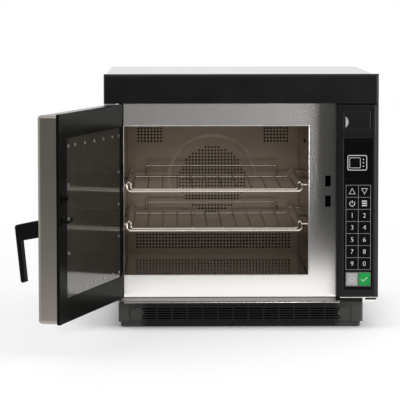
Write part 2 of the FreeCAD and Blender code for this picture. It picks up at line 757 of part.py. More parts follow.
def floor_shelf():
    """Removable ceramic floor plate."""
    z0 = LINER_FLOOR + SEAT_GAP
    return rounded_block(
        CAVITY_LEFT + SHELF_SIDE_GAP,
        CAVITY_RIGHT - SHELF_SIDE_GAP,
        FRONT + FRAME_THICKNESS + 1.0,
        CAVITY_BACK - 1.0,
        z0,
        z0 + SHELF_THICKNESS,
        2.0,
    )


def support_height(level):
    """Axis height of the support wire that carries a rack."""
    return CAVITY_FLOOR_LEVEL + level + RACK_RAIL_RISE - RACK_WIRE - SUPPORT_WIRE - SEAT_GAP


def rack_supports():
    """Four bent wires on the side walls, one under each side of each rack."""
    supports = []
    for level in RACK_LEVELS:
        z = support_height(level)
        for x, wall in ((RACK_LEFT, CAVITY_LEFT), (RACK_RIGHT, CAVITY_RIGHT)):
            y0 = FRONT + SUPPORT_FRONT
            y1 = y0 + SUPPORT_LENGTH
            run = rod(V(x, y0, z), V(x, y1, z), SUPPORT_WIRE)
            foot = SUPPORT_WIRE * 0.8
            legs = []
            for y in (y0 + SUPPORT_WIRE, (y0 + y1) / 2, y1 - SUPPORT_WIRE):
                legs.append(rod(V(x, y, z), V(wall, y, z), foot))
            supports.append(fused([run] + legs))
    return Part.makeCompound(supports)


def wire_rack(level):
    """Welded wire rack: a bent outer loop, a second front bar, cross wires and a raised rear stop."""
    z_low = CAVITY_FLOOR_LEVEL + level
    z_rail = z_low + RACK_RAIL_RISE
    z_bar = z_low + 2.8
    y_front = FRONT + RACK_FRONT
    y_second = y_front + RACK_SECOND_BAR
    y_rear = y_front + RACK_DEPTH
    middle = (RACK_LEFT + RACK_RIGHT) / 2
    inner = RACK_LEFT + 7.0
    half_loop = bent_rod(
        [
            V(middle, y_front, z_low),
            V(RACK_LEFT, y_front, z_low),
            V(RACK_LEFT, y_front, z_rail),
            V(RACK_LEFT, y_rear, z_rail),
            V(inner, y_rear, z_rail),
            V(inner, y_rear, z_bar),
            V(middle, y_rear, z_bar),
        ],
        [RACK_CORNER, RACK_CORNER, 3.2, 3.2, RACK_CORNER],
        RACK_WIRE,
    )
    half_second = bent_rod(
        [
            V(middle, y_second, z_bar),
            V(inner, y_second, z_bar),
            V(inner, y_second, z_rail),
            V(RACK_LEFT, y_second, z_rail),
        ],
        [4.0, 4.0],
        0.9 * RACK_WIRE,
    )
    pieces = []
    for half in (half_loop, half_second):
        pieces += [half, mirrored_x(half, middle)]
    z_cross = z_bar + RACK_WIRE + RACK_CROSS_WIRE - 0.5
    for i in range(RACK_CROSS_COUNT):
        x = middle + (i - (RACK_CROSS_COUNT - 1) / 2) * RACK_CROSS_PITCH
        pieces.append(rod(V(x, y_second - 1.5, z_cross), V(x, y_rear + 1.5, z_cross), RACK_CROSS_WIRE))
    z_stop = z_bar + RACK_STOP_RISE
    x_stop = RACK_LEFT + RACK_STOP_INSET
    half_stop = bent_rod(
        [V(middle, y_rear, z_stop), V(x_stop, y_rear, z_stop), V(x_stop, y_rear, z_bar + 1)],
        [5.0],
        0.9 * RACK_WIRE,
    )
    pieces += [half_stop, mirrored_x(half_stop, middle)]
    return fused(pieces)


# Convection system


def element_lead_places():
    """Where the two leads of the ring element pass through the chamber's rear wall."""
    places = []
    for side in (-1, 1):
        angle = math.radians(-90 + side * ELEMENT_GAP_ANGLE / 2)
        x = CAVITY_MIDDLE + ELEMENT_RING_RADIUS * math.cos(angle)
        z = FAN_CENTRE_HEIGHT + ELEMENT_RING_RADIUS * math.sin(angle)
        places.append((x, z))
    return places


def heating_element():
    """Tubular ring element round the fan, with two straight leads."""
    y = CAVITY_BACK + FAN_CHAMBER_DEPTH / 2
    centre = V(CAVITY_MIDDLE, y, FAN_CENTRE_HEIGHT)
    ring = Part.makeTorus(ELEMENT_RING_RADIUS, ELEMENT_TUBE_RADIUS, centre, V(0, 1, 0))
    places = element_lead_places()
    wedge_reach = 3 * ELEMENT_RING_RADIUS
    corners = [centre]
    for x, z in places:
        corners.append(centre + (V(x, y, z) - centre).normalize() * wedge_reach)
    flat = [c + V(0, -20, 0) for c in corners]
    wedge = Part.Face(Part.makePolygon(flat + flat[:1])).extrude(V(0, 40, 0))
    pieces = [ring.cut(wedge)]
    for x, z in places:
        pieces.append(Part.makeSphere(ELEMENT_TUBE_RADIUS, V(x, y, z)))
        pieces.append(rod(V(x, y, z), V(x, CHAMBER_BACK + 14, z), ELEMENT_TUBE_RADIUS))
    return fused(pieces)


def fan_shaft():
    """Shaft from the motor to the impeller."""
    z = FAN_CENTRE_HEIGHT
    return rod(
        V(CAVITY_MIDDLE, CAVITY_BACK + 9, z), V(CAVITY_MIDDLE, CHAMBER_BACK + 50, z), FAN_SHAFT_RADIUS
    )


def fan_impeller():
    """Backward-leaning radial blades on a disc with a hub."""
    z = FAN_CENTRE_HEIGHT
    y0 = CAVITY_BACK + 13
    y1 = y0 + FAN_BLADE_HEIGHT
    centre = V(CAVITY_MIDDLE, 0, z)
    disc = rod(centre + V(0, y1, 0), centre + V(0, y1 + 1.5, 0), FAN_RADIUS)
    hub = rod(centre + V(0, y0 + 2, 0), centre + V(0, y1 + 1.5, 0), FAN_HUB_RADIUS)
    pieces = [disc, hub]
    for i in range(FAN_BLADES):
        blade = block(FAN_HUB_RADIUS + 10, FAN_RADIUS - 1, -0.75, 0.75, 0, FAN_BLADE_HEIGHT + 0.5)
        blade.rotate(V(FAN_RADIUS, 0, 0), V(0, 0, 1), 25)
        blade.rotate(V(0, 0, 0), V(0, 0, 1), 360.0 * i / FAN_BLADES)
        blade.rotate(V(0, 0, 0), V(1, 0, 0), -90)
        blade.translate(V(CAVITY_MIDDLE, y0, z))
        pieces.append(blade)
    bore = rod(centre + V(0, y0 - 1, 0), centre + V(0, y1 + 5, 0), FAN_SHAFT_RADIUS)
    trim = rod(centre + V(0, y0 - 2, 0), centre + V(0, y1 + 4, 0), FAN_RADIUS)
    return fused(pieces).common(trim).cut(bore).Solids[0]


def fan_motor():
    """Fan motor with its mounting flange on the chamber's rear wall."""
    y0 = CHAMBER_BACK + SHEET
    z = FAN_CENTRE_HEIGHT
    centre = V(CAVITY_MIDDLE, 0, z)
    flange = rod(centre + V(0, y0, 0), centre + V(0, y0 + 2, 0), FAN_MOTOR_RADIUS + 6)
    body = rod(centre + V(0, y0 + 1, 0), centre + V(0, y0 + FAN_MOTOR_LENGTH, 0), FAN_MOTOR_RADIUS)
    bore = rod(centre + V(0, y0 - 1, 0), centre + V(0, y0 + 52, 0), FAN_SHAFT_RADIUS + SHAFT_CLEARANCE)
    return fused([flange, body]).cut(bore).Solids[0]


def insulation():
    """Fibre slabs on the left, top, right and rear of the cavity."""
    gap = SEAT_GAP
    y0 = FRONT + FRAME_THICKNESS + 16
    y1 = CHAMBER_BACK
    z0 = LINER_FLOOR + 2
    z1 = CAVITY_TOP
    left_x = CAVITY_LEFT - SHEET - gap
    right_x = CAVITY_RIGHT + SHEET + gap
    top_z = CAVITY_TOP + SHEET + gap
    thin = 14.0
    left = block(left_x - INSULATION, left_x, y0, y1, z0, z1)
    top = block(left_x - INSULATION, right_x, y0, y1, top_z, top_z + INSULATION)
    right = block(right_x, right_x + thin, y0, y1, z0, z1 - 2)
    half = WAVEGUIDE_WIDTH / 2 + 1
    notch = block(
        CAVITY_MIDDLE - WAVEGUIDE_REACH - 1, RIGHT, MAGNETRON_Y - half, MAGNETRON_Y + half, z0, HEIGHT
    )
    back = block(CAVITY_LEFT, CAVITY_RIGHT, y1 + SHEET + gap, y1 + SHEET + gap + INSULATION, z0, z1)
    holes = [
        rod(
            V(CAVITY_MIDDLE, y1, FAN_CENTRE_HEIGHT),
            V(CAVITY_MIDDLE, y1 + 60, FAN_CENTRE_HEIGHT),
            FAN_MOTOR_RADIUS + 7,
        )
    ]
    for x, z in element_lead_places():
        holes.append(rod(V(x, y1, z), V(x, y1 + 60, z), ELEMENT_TUBE_RADIUS + 1))
    return Part.makeCompound([left, less(top, [notch]), right, less(back, holes)])


# Microwave and power parts


def waveguide_levels():
    """Low and high faces of the lower and the upper waveguide."""
    height = LINER_FLOOR - SHEET - PAN_HIGH - 2 * SEAT_GAP
    low = PAN_HIGH + SEAT_GAP
    top = CAVITY_TOP + SHEET + SEAT_GAP
    return ((low, low + height), (top, top + height))


def waveguides():
    """Rectangular ducts that run under and over the cavity."""
    guides = []
    x0 = CAVITY_MIDDLE - WAVEGUIDE_REACH
    x1 = BAY_MIDDLE + MAGNETRON_BODY[0] / 2
    y0 = MAGNETRON_Y - WAVEGUIDE_WIDTH / 2
    y1 = MAGNETRON_Y + WAVEGUIDE_WIDTH / 2
    wall = WAVEGUIDE_WALL
    for index, (low, high) in enumerate(waveguide_levels()):
        duct = block(x0, x1, y0, y1, low, high)
        inner = block(x0 + wall, x1 - wall, y0 + wall, y1 - wall, low + wall, high - wall)
        port_z = high if index == 0 else low
        port = rod(V(BAY_MIDDLE, MAGNETRON_Y, port_z - 3), V(BAY_MIDDLE, MAGNETRON_Y, port_z + 3), 10.0)
        guides.append(less(duct, [inner, port]))
    return Part.makeCompound(guides)


def magnetrons():
    """Two finned magnetrons, one on each waveguide, with the antenna inside the duct."""
    wide, deep, tall = MAGNETRON_BODY
    tubes = []
    levels = waveguide_levels()
    for seat, way in ((levels[0][1], 1), (levels[1][0], -1)):
        centre = V(BAY_MIDDLE, MAGNETRON_Y, seat)
        flange = block(-wide / 2, wide / 2, -deep / 2, deep / 2, 0, 3)
        cap = block(-wide / 2, wide / 2, -deep / 2, deep / 2, tall - 3, tall)
        core = Part.makeCylinder(20, tall, V(0, 0, 0))
        antenna = Part.makeCylinder(8, 18, V(0, 0, -16))
        pieces = [flange, cap, core, antenna]
        for i in range(MAGNETRON_FINS):
            z = 12 + i * (tall - 24) / (MAGNETRON_FINS - 1)
            pieces.append(block(-wide / 2 + 4, wide / 2 - 4, -deep / 2 + 2, deep / 2 - 2, z - 0.6, z + 0.6))
        tube = fused(pieces)
        if way < 0:
            tube.rotate(V(0, 0, 0), V(1, 0, 0), 180)
        tube.translate(centre)
        tubes.append(tube)
    return Part.makeCompound(tubes)


def transformers():
    """Two high-voltage transformers on the base pan."""
    wide, deep, tall = TRANSFORMER_BODY
    out = []
    for from_rear in TRANSFORMERS_FROM_REAR:
        y0 = REAR - from_rear
        x0 = BAY_MIDDLE - wide / 2
        z0 = PAN_HIGH
        core = block(x0, x0 + wide, y0, y0 + deep, z0, z0 + tall)
        window = [
            block(x0 + 14, x0 + 32, y0 - 1, y0 + deep + 1, z0 + 18, z0 + tall - 18),
            block(x0 + wide - 32, x0 + wide - 14, y0 - 1, y0 + deep + 1, z0 + 18, z0 + tall - 18),
        ]
        coil = rounded_block(x0 + 16, x0 + wide - 16, y0 - 8, y0 + deep + 8, z0 + 20, z0 + tall - 20, 6.0)
        out.append(fused([less(core, window), coil]))
    return Part.makeCompound(out)


def blower_centre():
    """Axis of the cooling blower, at the front face of its housing."""
    return V(BAY_MIDDLE, REAR - BLOWER_FROM_REAR, BLOWER_HEIGHT)


def blower_housing():
    """Round blower housing with an inlet, an outlet duct and a bracket to the back panel."""
    c = blower_centre()
    end = c + V(0, BLOWER_DEPTH, 0)
    outer = rod(c, end, BLOWER_RADIUS)
    duct = block(c.x - BLOWER_RADIUS, c.x - 10, c.y, end.y, c.z - BLOWER_RADIUS - 22, c.z)
    shell = fused([outer, duct])
    inner = rod(c + V(0, 2, 0), end - V(0, 2, 0), BLOWER_RADIUS - 2)
    inner_duct = block(c.x - BLOWER_RADIUS + 2, c.x - 12, c.y + 2, end.y - 2, c.z - BLOWER_RADIUS - 24, c.z)
    inlet = rod(c - V(0, 1, 0), c + V(0, 3, 0), BLOWER_WHEEL_RADIUS - 8)
    shaft_hole = rod(end - V(0, 3, 0), end + V(0, 1, 0), 6.0)
    shell = less(shell, [inner, inner_duct, inlet, shaft_hole])
    arm = block(c.x + 30, c.x + 34, end.y - 2, REAR - SHEET - SEAT_GAP, c.z - 12, c.z + 12)
    return fused([shell, arm])


def blower_wheel():
    """Drum wheel with blades between a back disc and a front ring, on its own stub shaft."""
    c = blower_centre()
    y0 = c.y + 5
    y1 = c.y + BLOWER_DEPTH - 5
    centre = V(c.x, 0, c.z)
    disc = rod(centre + V(0, y1 - 2, 0), centre + V(0, y1, 0), BLOWER_WHEEL_RADIUS)
    ring = rod(centre + V(0, y0, 0), centre + V(0, y0 + 2, 0), BLOWER_WHEEL_RADIUS)
    ring = ring.cut(rod(centre + V(0, y0 - 1, 0), centre + V(0, y0 + 3, 0), BLOWER_WHEEL_RADIUS - 9))
    hub = rod(centre + V(0, y1 - 12, 0), centre + V(0, y1, 0), 8.0)
    shaft = rod(centre + V(0, y1 - 1, 0), centre + V(0, y1 + 18, 0), 3.0)
    pieces = [disc, ring, hub, shaft]
    for i in range(BLOWER_BLADES):
        blade = block(BLOWER_WHEEL_RADIUS - 8, BLOWER_WHEEL_RADIUS - 1, -0.6, 0.6, 0, y1 - y0 - 0.5)
        blade.rotate(V(0, 0, 0), V(0, 0, 1), 360.0 * i / BLOWER_BLADES)
        blade.rotate(V(0, 0, 0), V(1, 0, 0), -90)
        blade.translate(V(c.x, y0 + 0.25, c.z))
        pieces.append(blade)
    return fused(pieces)


def blower_motor():
    """Small motor on the rear of the blower housing."""
    c = blower_centre()
    y0 = c.y + BLOWER_DEPTH
    centre = V(c.x, 0, c.z)
    body = rod(centre + V(0, y0, 0), centre + V(0, y0 + 30, 0), BLOWER_MOTOR_RADIUS)
    bore = rod(centre + V(0, y0 - 1, 0), centre + V(0, y0 + 16, 0), 3.0 + SHAFT_CLEARANCE)
    return body.cut(bore).Solids[0]


def interlock_switches():
    """Block behind the latch slots, with a pocket for each hook and three switches on its side."""
    y0 = FRONT + FRAME_THICKNESS
    x0, x1 = HOOK_X - 13, HOOK_X + 13
    body = block(x0, x1, y0, y0 + 34, LOWER_SLOT[0] - 12, UPPER_SLOT[1] + 12)
    half = LATCH_SLOT_WIDTH / 2 + 0.5
    pockets = []
    for low, high in (UPPER_SLOT, LOWER_SLOT):
        pockets.append(block(HOOK_X - half, HOOK_X + half, y0 - 1, y0 + 24, low, high))
    switches = []
    for i in range(3):
        z = LOWER_SLOT[0] - 6 + i * 26
        switches.append(block(x1 - 1, x1 + 9, y0 + 8, y0 + 28, z, z + 20))
    return less(fused([body] + switches), pockets)


# Top bezel and control panel


def top_bezel():
    """Black moulding across the top front, a little above the casing, with posts to the frame."""
    y1 = BEZEL_FACE + BEZEL_RETURN
    wall = BEZEL_WALL
    shape = block(LEFT, RIGHT, BEZEL_FACE, y1, BEZEL_LOW, BEZEL_TOP)
    face = [
        e
        for e in shape.Edges
        if abs(e.CenterOfMass.y - BEZEL_FACE) < 0.01 and e.CenterOfMass.z > BEZEL_LOW + 1
    ]
    shape = shape.makeFillet(BEZEL_EDGE_RADIUS, face)
    hollow = block(LEFT + wall, RIGHT - wall, BEZEL_FACE + wall, y1 + 1, BEZEL_LOW + wall, HEIGHT - wall)
    shape = shape.cut(hollow)
    notch_end = LEFT + BRACKET_WIDTH + 3
    floor = block(notch_end, RIGHT - SHEET - SEAT_GAP, y1 - 1, FRONT - SEAT_GAP, BEZEL_LOW, BEZEL_LOW + 2.5)
    pieces = [shape, floor]
    for i in range(BEZEL_POST_COUNT):
        x = LEFT + WIDTH * (i + 0.5) / BEZEL_POST_COUNT
        pieces.append(block(x - 5, x + 5, BEZEL_FACE + 1, FRONT, HEIGHT - 36, HEIGHT - 28))
    return fused(pieces)


def key_boxes():
    """Each key's name and the opening that it works in: left, right, low and high."""
    boxes = []
    x_left = PANEL_LEFT + KEY_GRID_LEFT
    z_low = PANEL_BOTTOM + KEY_GRID_BOTTOM
    pitch_z = (DISPLAY_LOW - KEY_GRID_TO_DISPLAY - z_low) / len(KEY_NAMES)
    half = KEY_BAR / 2
    for row, names in enumerate(KEY_NAMES):
        for column, name in enumerate(names):
            x = x_left + column * KEY_PITCH_X
            z = z_low + row * pitch_z
            boxes.append((name, x + half, x + KEY_PITCH_X - half, z + half, z + pitch_z - half))
    z = PANEL_BOTTOM + BOTTOM_KEY_LOW
    for column, name in enumerate(("key_stop", "key_start")):
        x = x_left + column * KEY_PITCH_X
        boxes.append((name, x + half, x + KEY_PITCH_X - half, z, z + BOTTOM_KEY_HEIGHT))
    return boxes


def key(x0, x1, z0, z1):
    """One key: a cap in the overlay's opening, a lip behind it and a stem to its switch."""
    g = KEY_GAP
    face = OVERLAY_FACE - 0.2
    cap_back = OVERLAY_BACK + SEAT_GAP
    cap = block(x0 + g, x1 - g, face, cap_back + 0.3, z0 + g, z1 - g)
    rim = [e for e in cap.Edges if abs(e.CenterOfMass.y - face) < 0.01]
    cap = cap.makeChamfer(0.15, rim)
    out = KEY_LIP
    lip = block(x0 - out, x1 + out, cap_back, cap_back + KEY_LIP_THICKNESS, z0 - out, z1 + out)
    xm, zm = (x0 + x1) / 2, (z0 + z1) / 2
    stem = rod(V(xm, cap_back + 0.3, zm), V(xm, cap_back + KEY_STEM_LENGTH, zm), KEY_STEM_RADIUS)
    return fused([cap, lip, stem])


def keypad_overlay():
    """Flat overlay with openings for the keys and the display."""
    x0 = PANEL_LEFT + OVERLAY_LEFT
    x1 = PANEL_LEFT + OVERLAY_RIGHT
    sheet = rounded_block(x0, x1, OVERLAY_FACE, OVERLAY_BACK, OVERLAY_LOW, OVERLAY_HIGH, 1.5, axis=1)
    cutters = [display_block(0, OVERLAY_FACE - 1, OVERLAY_BACK + 1)]
    for _, kx0, kx1, kz0, kz1 in key_boxes():
        cutters.append(block(kx0, kx1, OVERLAY_FACE - 1, OVERLAY_BACK + 1, kz0, kz1))
    return less(sheet, cutters)


def display_block(inset, y0, y1):
    """A box on the display's opening, smaller by an inset all round."""
    x0 = PANEL_LEFT + DISPLAY_LEFT + inset
    x1 = PANEL_LEFT + DISPLAY_RIGHT - inset
    return block(x0, x1, y0, y1, DISPLAY_LOW + inset, DISPLAY_HIGH - inset)


def display_window():
    """Clear window of the display, in the overlay's large opening."""
    return display_block(DISPLAY_GAP, DISPLAY_FACE, DISPLAY_FACE + DISPLAY_THICKNESS)


def port_box():
    """Opening of the service port cover: left, right, low and high."""
    high = PANEL_TOP - PORT_FROM_TOP
    return (PANEL_LEFT + PORT_LEFT, PANEL_LEFT + PORT_RIGHT, high - PORT_HEIGHT, high)


def port_hinge():
    """Axis of the service port cover."""
    _, x1, _, _ = port_box()
    return V(x1 - PORT_COVER_THICKNESS - PORT_COVER_GAP, BEZEL_FACE + PORT_COVER_THICKNESS + 0.2, 0)


def port_cover():
    """Flap over the service port, with a pin at the top and bottom of its right side."""
    x0, _, z0, z1 = port_box()
    gap = PORT_COVER_GAP
    axis = port_hinge()
    y0 = BEZEL_FACE + 0.2
    flap = block(x0 + gap, axis.x, y0, y0 + PORT_COVER_THICKNESS, z0 + gap, z1 - gap)
    barrel = rod(V(axis.x, axis.y, z0 + gap), V(axis.x, axis.y, z1 - gap), PORT_COVER_THICKNESS)
    barrel = barrel.common(block(axis.x - 5, axis.x + 5, y0, axis.y + 5, z0, z1))
    pin = rod(V(axis.x, axis.y, z0 - 2), V(axis.x, axis.y, z1 + 2), PORT_PIN_RADIUS)
    return less(fused([flap, barrel, pin]), [finger_scoop(0.6)])


def finger_scoop(inset):
    """Shallow round scoop at the left edge of the port cover."""
    x0, _, z0, z1 = port_box()
    middle = (z0 + z1) / 2
    x = x0 + SCOOP_OFFSET - SCOOP_RADIUS
    return rod(
        V(x, BEZEL_FACE - 1, middle),
        V(x, BEZEL_FACE + PORT_COVER_THICKNESS + 3, middle),
        SCOOP_RADIUS - inset + 0.6,
    )


def service_port():
    """Metal data socket behind the cover."""
    x0, x1, z0, z1 = port_box()
    xm, zm = (x0 + x1) / 2 - 2, (z0 + z1) / 2
    y1 = BEZEL_FACE + PORT_RECESS_DEPTH
    shell = block(xm - 7, xm + 7, y1 - 6, y1 + 5, zm - 3.5, zm + 3.5)
    slot = block(xm - 6, xm + 6, y1 - 7, y1 + 3, zm - 2.5, zm + 2.5)
    tongue = block(xm - 5, xm + 5, y1 - 5.5, y1 + 3.5, zm + 0.2, zm + 1.7)
    return fused([shell.cut(slot), tongue])


def control_housing():
    """Bevelled plastic housing of the controls, hollow from the rear, with recesses in its face."""
    x0, x1 = PANEL_LEFT, RIGHT
    outline = [
        (x0, FRONT - SEAT_GAP),
        (x0, BEZEL_FACE + PANEL_LEFT_BEVEL_DEPTH),
        (x0 + PANEL_LEFT_BEVEL, BEZEL_FACE),
        (x1 - PANEL_RIGHT_BEVEL, BEZEL_FACE),
        (x1, BEZEL_FACE + PANEL_RIGHT_BEVEL_DEPTH),
        (x1, FRONT - SEAT_GAP),
    ]
    shape = prism_z(outline, PANEL_BOTTOM, PANEL_TOP)
    long_edge = x1 - x0 - PANEL_LEFT_BEVEL - PANEL_RIGHT_BEVEL
    face = [
        e
        for e in shape.Edges
        if abs(e.CenterOfMass.y - BEZEL_FACE) < 0.01 and abs(e.Length - long_edge) < 0.01
    ]
    shape = shape.makeChamfer(PANEL_END_CHAMFER, face)
    wall = PANEL_WALL
    hollow = block(
        x0 + wall, x1 - wall, HOUSING_BACK_WALL, FRONT + 1, PANEL_BOTTOM + wall, PANEL_TOP - wall
    )
    shape = shape.cut(hollow)
    gap = OVERLAY_GAP
    ox0, ox1 = x0 + OVERLAY_LEFT, x0 + OVERLAY_RIGHT
    cutters = [
        block(ox0 - gap, ox1 + gap, BEZEL_FACE - 1, OVERLAY_BACK, OVERLAY_LOW - gap, OVERLAY_HIGH + gap)
    ]
    ledge = OVERLAY_LEDGE
    pocket_top = DISPLAY_LOW - KEY_GRID_TO_DISPLAY / 2
    cutters.append(
        block(ox0 + ledge, ox1 - ledge, OVERLAY_BACK - 1, KEY_FLOOR, OVERLAY_LOW + ledge, pocket_top)
    )
    hole = KEY_STEM_RADIUS + KEY_STEM_GAP
    for _, kx0, kx1, kz0, kz1 in key_boxes():
        xm, zm = (kx0 + kx1) / 2, (kz0 + kz1) / 2
        cutters.append(rod(V(xm, KEY_FLOOR - 1, zm), V(xm, HOUSING_BACK_WALL + 1, zm), hole))
    cutters.append(display_block(DISPLAY_LEDGE, OVERLAY_BACK - 1, HOUSING_BACK_WALL + 1))
    cutters.append(display_block(-2 * DISPLAY_GAP, OVERLAY_BACK - 1, DISPLAY_FACE + DISPLAY_THICKNESS))
    px0, px1, pz0, pz1 = port_box()
    axis = port_hinge()
    cup_back = BEZEL_FACE + PORT_RECESS_DEPTH
    cup = block(px0 - wall, px1 + wall, HOUSING_BACK_WALL - 1, cup_back + wall, pz0 - wall, pz1 + wall)
    shape = fused([shape, cup])
    cutters.append(block(px0, px1, BEZEL_FACE - 1, axis.y + PORT_COVER_THICKNESS + 0.4, pz0, pz1))
    cutters.append(block(px0 + 3, px1 - 7, BEZEL_FACE, cup_back, pz0 + 3, pz1 - 3))
    cutters.append(
        rod(
            V(axis.x, axis.y, pz0 - 2.5),
            V(axis.x, axis.y, pz1 + 2.5),
            PORT_PIN_RADIUS + PORT_PIN_CLEARANCE,
        )
    )
    xm, zm = (px0 + px1) / 2 - 2, (pz0 + pz1) / 2
    cutters.append(block(xm - 7, xm + 7, cup_back - 1, cup_back + wall + 1, zm - 3.5, zm + 3.5))
    shape = less(shape, cutters)
    posts = []
    for x in (x0 + 6.5, x1 - 7.0):
        for z in (PANEL_BOTTOM + 30, PANEL_BOTTOM + 0.5 * PANEL_SPAN, PANEL_TOP - 70):
            posts.append(rod(V(x, HOUSING_BACK_WALL - 1, z), V(x, FRONT, z), 3.0))
    return fused([shape] + posts)


def control_board():
    """Circuit board with key switches, a display module and power parts."""
    x0 = PANEL_LEFT + 11.0
    x1 = RIGHT - 12.0
    z0 = PANEL_BOTTOM + 12
    z1 = port_box()[2] - 8
    y0 = BOARD_FACE
    y1 = y0 + BOARD_THICKNESS
    pieces = [block(x0, x1, y0, y1, z0, z1)]
    stem_end = OVERLAY_BACK + SEAT_GAP + KEY_STEM_LENGTH
    switch_top = stem_end + KEY_TRAVEL + SEAT_GAP
    for _, kx0, kx1, kz0, kz1 in key_boxes():
        xm, zm = (kx0 + kx1) / 2, (kz0 + kz1) / 2
        pieces.append(rod(V(xm, switch_top, zm), V(xm, y0 + 0.5, zm), 3.2))
    pieces.append(display_block(DISPLAY_LEDGE / 2, HOUSING_BACK_WALL + 0.5, y0 + 0.5))
    for z, tall, deep in ((z0 + 20, 30, 14), (z0 + 70, 22, 11), (z0 + 120, 26, 12)):
        pieces.append(block(x0 + 6, x0 + 34, y1 - 0.5, y1 + deep - 2, z, z + tall))
    return fused(pieces)


# Door, modelled closed


def door_skin():
    """Steel outer shell of the door, open towards the cavity."""
    r = DOOR_EDGE_RADIUS
    t = DOOR_SKIN

    def rounded(inset, radius, y_open):
        shape = block(
            LEFT + inset,
            DOOR_FREE_EDGE - inset,
            DOOR_FACE + inset,
            y_open,
            DOOR_BOTTOM + inset,
            DOOR_TOP - inset,
        )
        corners = edges_along(shape, 1, lambda p: True)
        shape = shape.makeFillet(radius, corners)
        face = [e for e in shape.Edges if abs(e.CenterOfMass.y - (DOOR_FACE + inset)) < 0.01]
        return shape.makeFillet(radius - 0.5, face)

    shell = rounded(0, r, SHELL_RIM).cut(rounded(t, r - t, SHELL_RIM + 5))
    hole = rod(V(HINGE_X, HINGE_Y, DOOR_BOTTOM - 5), V(HINGE_X, HINGE_Y, DOOR_TOP + 5), PIN_RADIUS + 0.8)
    return less(shell, [hole])


def hinge_pin_levels():
    """Door faces at the hinge and the way that each pin points into the door."""
    return ((DOOR_BOTTOM, 1), (DOOR_TOP, -1))


def door_core():
    """Inner steel tray with a raised middle, which leaves a choke channel round the edge."""
    t = CORE_SHEET
    inset = DOOR_SKIN + CORE_GAP
    x0, x1 = LEFT + inset, DOOR_FREE_EDGE - inset
    z0, z1 = DOOR_BOTTOM + inset, DOOR_TOP - inset
    back = DOOR_FACE + inset
    rim = SHELL_RIM - 0.5
    tray = rounded_block(x0, x1, back, rim, z0, z1, 4.0, axis=1)
    tray = tray.cut(block(x0 + t, x1 - t, back + t, rim + 1, z0 + t, z1 - t))
    hx0, hx1 = INNER_LEFT + HAT_INSET, INNER_RIGHT - HAT_INSET
    hz0, hz1 = INNER_LOW + HAT_INSET, INNER_HIGH - HAT_INSET
    hat_face = INNER_BACK - SEAT_GAP
    hat = block(hx0, hx1, back, hat_face, hz0, hz1)
    hat = hat.cut(block(hx0 + t, hx1 - t, back - 1, hat_face - t, hz0 + t, hz1 - t))
    pieces = [tray, hat]
    for level, way in hinge_pin_levels():
        low = level + way * (inset + 0.5)
        high = level + way * (inset + PIN_REACH)
        pieces.append(
            block(x0 + 0.5, HINGE_X + 8, HINGE_Y - 8, HINGE_Y + 8, min(low, high), max(low, high))
        )
    guide_low, guide_high = LOWER_HOOK_LOW - 10, UPPER_HOOK_HIGH + 12
    pieces.append(
        block(HOOK_X - 6, HOOK_X + 6, back + 0.5, hook_bar_back() - SEAT_GAP, guide_low, guide_high)
    )
    shape = fused(pieces)
    cutters = [
        rod(V((x0 + x1) / 2, back - 1, (z0 + z1) / 2), V((x0 + x1) / 2, back + t + 1, (z0 + z1) / 2), 40.0)
    ]
    for level, way in hinge_pin_levels():
        low = level - way * 2
        high = level + way * (PIN_REACH + 8)
        cutters.append(
            rod(
                V(HINGE_X, HINGE_Y, min(low, high)),
                V(HINGE_X, HINGE_Y, max(low, high)),
                PIN_RADIUS + PIN_CLEARANCE,
            )
        )
    for x, z in door_screw_places():
        cutters.append(rod(V(x, hat_face - t - 1, z), V(x, hat_face + 1, z), DOOR_SCREW_RADIUS + 0.2))
    return less(shape, cutters)


def hook_bar_back():
    """Rear face of the sliding hook bar inside the door."""
    return SHELL_RIM - 13.0


def choke_cover():
    """Black plastic frame over the choke channel, with a window and two hook slots.

    It stands out above and below the steel shell, except beside the hinge brackets.
    """
    x0 = LEFT + COVER_HINGE_INSET
    low, high = DOOR_BOTTOM - COVER_OVERHANG, DOOR_TOP + COVER_OVERHANG
    shape = block(x0, DOOR_FREE_EDGE, SHELL_RIM, COVER_FACE, low, high)
    corners = edges_along(shape, 1, lambda p: p.x > x0 + 1)
    shape = shape.makeFillet(4.0, corners)
    front_edges = [e for e in shape.Edges if abs(e.CenterOfMass.y - COVER_FACE) < 0.01]
    shape = shape.makeFillet(1.2, front_edges)
    cutters = [block(INNER_LEFT, INNER_RIGHT, SHELL_RIM - 1, COVER_FACE + 1, INNER_LOW, INNER_HIGH)]
    for notch_low, notch_high in ((low - 1, DOOR_BOTTOM), (DOOR_TOP, high + 1)):
        cutters.append(
            block(x0 - 1, HINGE_X + COVER_NOTCH, SHELL_RIM - 1, COVER_FACE + 1, notch_low, notch_high)
        )
    half = HOOK_THICKNESS / 2 + HOOK_GAP
    for low, high in ((UPPER_HOOK_LOW, UPPER_HOOK_HIGH), (LOWER_HOOK_LOW, LOWER_HOOK_TIP)):
        cutters.append(
            block(
                HOOK_X - half,
                HOOK_X + half,
                SHELL_RIM - 1,
                COVER_FACE + 1,
                low - HOOK_LIFT - HOOK_GAP,
                high + HOOK_GAP,
            )
        )
    return less(shape, cutters)


